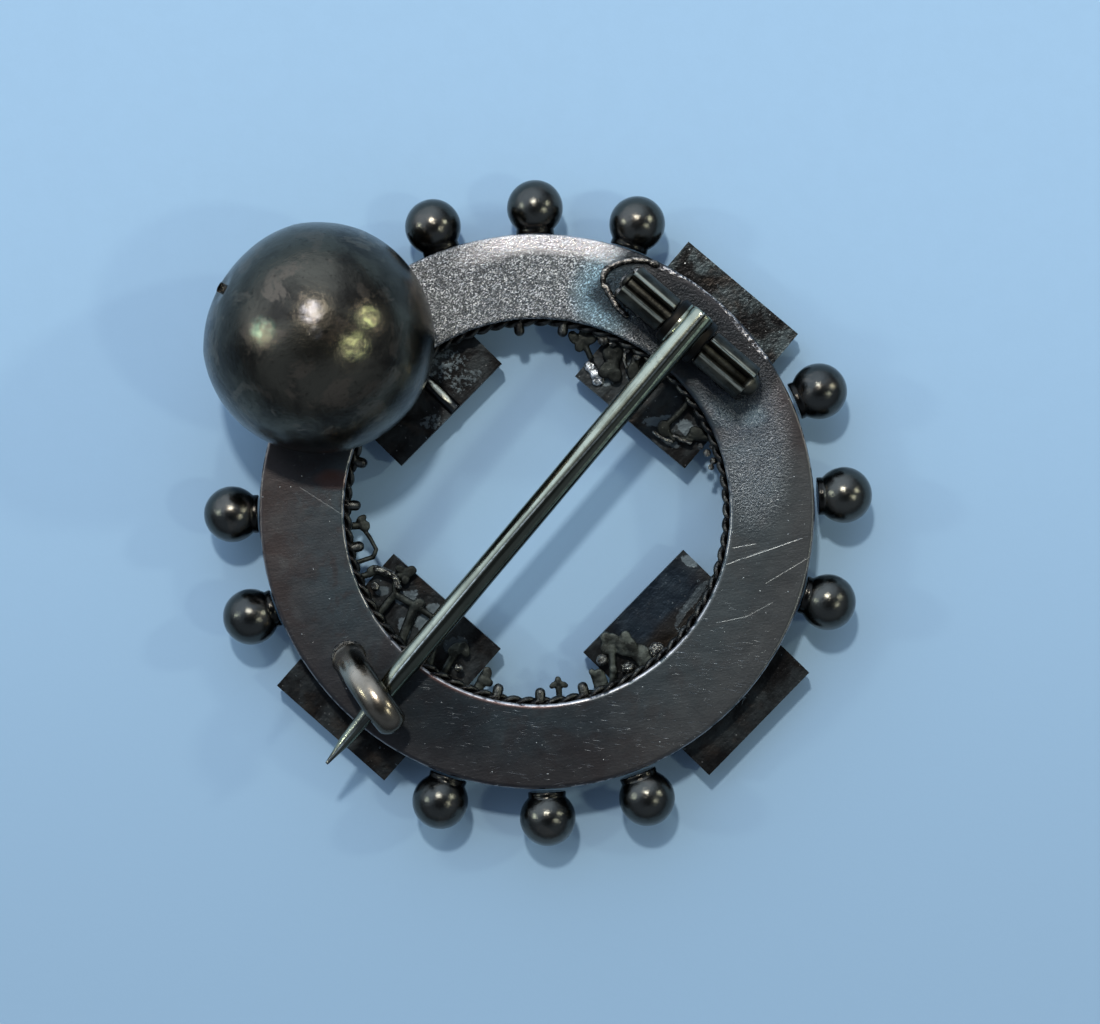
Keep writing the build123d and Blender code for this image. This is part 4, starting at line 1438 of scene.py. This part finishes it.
GRANULES = (
    # x, y, level, diameter, flatness
    (8.29, -9.55, 3.45, 1.15, 0.75),
    (6.29, -10.8, 3.4, 0.9, 0.9),
    (4.49, -10.27, 3.3, 0.8, 0.9),
    (4.56, 11.87, 3.5, 0.8, 0.9),
    (5.26, 11.66, 3.4, 0.6, 0.9),
    (4.15, 12.3, 3.45, 0.6, 0.9),
    (6.95, 10.72, 3.5, 0.62, 0.9),
    (6.2, 11.2, 3.4, 0.5, 0.9),
    (11.76, 4.05, 3.45, 0.55, 0.9),
    (12.1, 4.5, 3.45, 0.45, 0.9),
    (11.3, 4.5, 3.4, 0.45, 0.9),
    (12.2, 3.5, 3.4, 0.5, 0.9),
    (12.05, 3.05, 3.4, 0.42, 0.9),
    (-11.2, -5.2, 3.4, 0.6, 0.9),
    (-5.4, -10.85, 3.4, 0.6, 0.85),
)
WIRES = (
    # thickness, points x, y, level
    (0.5, ((-11.1, -3.95, 3.4), (-10.45, -4.15, 3.45), (-9.85, -4.5, 3.4), (-9.6, -5.2, 3.3))),
    (0.26, ((8.1, 5.5, 3.2), (8.7, 5.05, 3.25), (9.3, 4.85, 3.2))),
    (0.26, ((9.5, 5.25, 3.2), (10.0, 4.95, 3.25), (10.6, 4.75, 3.2))),
    (0.24, ((6.1, 11.0, 3.2), (6.05, 10.5, 3.2), (6.2, 9.95, 3.1))),
)
SOLDERS = (
    # x, y, level, width, turn of the lump, stretch
    (3.76, 9.95, 2.7, 0.55, -50, 1.2),
    (3.96, 9.6, 2.78, 0.78, -50, 1.1),
    (4.2, 9.22, 2.7, 0.5, -60, 1.1),
)


def inwards(angle, reach, level):
    """A place by angle and reach inwards from the rope's middle."""
    return polar(ROPE_RADIUS - reach, angle, level)


class BROOCH_OT_leaves(bpy.types.Operator):
    """The sprays of cut leaves that stand in from the rope, and the bits of wire on the plates"""

    bl_idname = "brooch.leaves"
    bl_label = "Leaves and wires"

    def lobe(self, middle, way, length, width):
        """The rings of one lobe, pointed at both ends and flat above and below."""
        side = way.cross(UP)
        rings = []
        for i in range(1, 16):
            t = math.pi * i / 16
            ring = []
            for c, s in circle(24):
                wide = math.copysign(abs(c) ** 0.6, c) * math.sin(t) ** 0.8
                high = math.copysign(abs(s) ** 0.3, s) * math.sin(t) ** 0.3
                start = middle - way * (math.cos(t) * length / 2)
                ring.append(start + side * (wide * width / 2) + UP * (high * 0.23))
            rings.append(ring)
        return rings

    def spray(self, name, s):
        mid = s.leaf_top - s.leaf_thickness / 2
        flat = s.leaf_thickness / 0.5
        shape = Lump()
        start, end = LEAF_BANDS[name]
        steps = max(4, int((end - start) / 2))
        turns = [start + (end - start) * i / steps for i in range(steps + 1)]
        arc = [polar(LEAF_FOOT_RADIUS, turn, mid) for turn in turns]
        shape.tube(arc, 0.25, 14, flat=0.9 * flat, round_ends=1.0)
        for angle_0, reach_0, angle_1, reach_1, width in LEAF_BARS[name]:
            a, b = inwards(angle_0, reach_0, mid), inwards(angle_1, reach_1, mid)
            line = [a.lerp(b, i / 6) for i in range(7)]
            shape.tube(line, width / 2, 14, flat=0.4 * flat / width, round_ends=0.8)
        for angle, reach, length, width, turn in LEAF_LOBES[name]:
            way = polar(1.0, angle + turn)
            shape.rings(self.lobe(inwards(angle, reach, mid), way, length, width))
        made = settled(shape, 0.055, 2, 0.04)
        piece(name + "_cut", made, "leaves", (name,))

    def granules(self):
        """Balls of the table's sizes, roughened."""
        g = Grower("granules_by_the_rope", {"Roughness": 0.05})
        holder = places_mesh([(x * MM, y * MM, z * MM) for x, y, z, _, _ in GRANULES])
        sizes = {"wide": [row[3] / 2 for row in GRANULES], "flat": [row[4] for row in GRANULES]}
        for label, values in sizes.items():
            holder.attributes.new(label, "FLOAT", "POINT").data.foreach_set("value", values)
        kind = "GeometryNodeInputNamedAttribute"
        wide, flat = (g.num(g.node(kind, {"Name": n}, data_type="FLOAT")) for n in sizes)
        ball = g.node("GeometryNodeMeshIcoSphere", {"Radius": MM, "Subdivisions": 4})
        scale = g.node("ShaderNodeCombineXYZ", {0: wide, 1: wide, 2: wide * flat})
        lumps = (g.lumps(1300.0) - 0.5) * g.of("Roughness") * 3.0
        return g.grow(g.pushed(g.copies(ball, Scale=scale), lumps), "granules", holder)

    def execute(self, context):
        s = context.scene.brooch_sizes
        for name in LEAF_BANDS:
            self.spray(name, s)
        piece("granules", self.granules(), "granules")
        wires = Lump()
        for thick, points in WIRES:
            wires.tube(smooth_path(points, 8), thick / 2, 14, round_ends=1.0)
        piece("leaf_wires", wires, "granules")
        return {"FINISHED"}


class BROOCH_OT_plates(bpy.types.Operator):
    """The four plates and the ring's case, kept from the CAD, and lumps of solder"""

    bl_idname = "brooch.plates"
    bl_label = "Plates and case"

    def execute(self, context):
        for name in ("plate_ne", "plate_nw", "plate_sw", "plate_se", "ring_case"):
            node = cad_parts[name]
            node.data.materials.clear()
            node.data.materials.append(finish_of("plates"))
        shape = Lump()
        rng = random.Random(7)
        for x, y, level, width, turn, stretch in SOLDERS:
            way = polar(1.0, turn)
            for _ in range(9):
                off = way * ((rng.random() - 0.5) * width * stretch)
                off += way.cross(UP) * ((rng.random() - 0.5) * width * 0.6)
                radius = 0.2 + 0.22 * rng.random()
                shape.ball(Vector((x, y, level - 0.15)) + off, radius, (1, 1, 0.8))
        piece("plate_solder", settled(shape, 0.06, 3), "solder")
        return {"FINISHED"}


LAMP_DISTANCE = 0.9
LAMPS = (
    # name, direction, power, width, colour
    ("lamp_main", (-0.09, 0.43, 0.90), 3.6, 0.06, (1.0, 0.99, 0.92)),
    ("lamp_left", (-0.83, 0.12, 0.54), 0.85, 0.075, (0.9, 1.0, 0.86)),
    ("lamp_right_high", (0.78, 0.30, 0.57), 1.0, 0.07, (0.96, 1.0, 0.82)),
    ("lamp_right_low", (0.59, -0.15, 0.80), 0.75, 0.07, (0.96, 1.0, 0.82)),
)
CAMERA_PLACE = (0.000896, -0.000035, 0.280)
FOCAL_LENGTH = 130.9


class BROOCH_OT_stage(bpy.types.Operator):
    """The paper, the studio light and the camera straight above"""

    bl_idname = "brooch.stage"
    bl_label = "Stage"

    def light(self, name, way, power, wide, shade):
        lamp = bpy.data.lights.new(name, "AREA")
        lamp.shape = "DISK"
        lamp.size = wide
        lamp.energy = power
        lamp.color = shade
        thing = linked(name, lamp)
        way = Vector(way).normalized()
        thing.location = way * LAMP_DISTANCE
        thing.rotation_euler = way.to_track_quat("Z", "Y").to_euler()

    def room(self, scene):
        """Soft light all round, darker straight above, where the camera stands."""
        world = bpy.data.worlds.new("soft_room")
        scene.world = world
        world.use_nodes = True
        g = Graph(world.node_tree)
        back = world.node_tree.nodes["Background"]
        x, y, z = g.parts(g.node("ShaderNodeTexCoord").outputs["Generated"])
        wall = (x * -0.42 + y * 0.78 + z * 0.46).ramp(0.35, 0.95)
        above = z.ramp(0.80, 0.95)
        low = z.ramp(0.0, 0.5)
        g.feed(back.inputs[0], (0.80, 1.0, 1.28, 1.0))
        g.feed(back.inputs[1], (wall * 1.1 + low * 0.2 + 0.10) * (above * -0.75 + 1.0))

    def execute(self, context):
        scene = context.scene
        bpy.ops.mesh.primitive_plane_add(size=3.0, location=(0, 0, 0))
        floor = context.object
        floor.name = "paper"
        floor.data.materials.append(finish_of("paper"))
        self.room(scene)
        for row in LAMPS:
            self.light(*row)
        lens = bpy.data.cameras.new("camera")
        lens.sensor_fit = "HORIZONTAL"
        lens.sensor_width = 36.0
        lens.lens = FOCAL_LENGTH
        lens.clip_start = 0.01
        camera = linked("camera", lens)
        camera.location = CAMERA_PLACE
        scene.camera = camera
        scene.view_settings.view_transform = "Standard"
        return {"FINISHED"}


class BROOCH_PT_tools(bpy.types.Panel):
    """The steps that build the brooch"""

    bl_label = "Silver brooch"
    bl_space_type = "VIEW_3D"
    bl_region_type = "UI"
    bl_category = "Brooch"

    def draw(self, context):
        for step in STEPS:
            self.layout.operator(step.bl_idname)


STEPS = (
    BROOCH_OT_sheet,
    BROOCH_OT_rope,
    BROOCH_OT_small_balls,
    BROOCH_OT_big_ball,
    BROOCH_OT_plates,
    BROOCH_OT_leaves,
    BROOCH_OT_hinge,
    BROOCH_OT_pin,
    BROOCH_OT_hook,
    BROOCH_OT_stage,
)
CLASSES = (BroochSizes, BroochColours, *STEPS, BROOCH_PT_tools)


def register():
    for made in CLASSES:
        bpy.utils.register_class(made)
    bpy.types.Scene.brooch_sizes = PointerProperty(type=BroochSizes)
    bpy.types.Scene.brooch_colours = PointerProperty(type=BroochColours)


def unregister():
    del bpy.types.Scene.brooch_colours
    del bpy.types.Scene.brooch_sizes
    for made in reversed(CLASSES):
        bpy.utils.unregister_class(made)


def main():
    register()
    for step in STEPS:
        group, name = step.bl_idname.split(".")
        getattr(getattr(bpy.ops, group), name)()


if __name__ == "__main__":
    main()
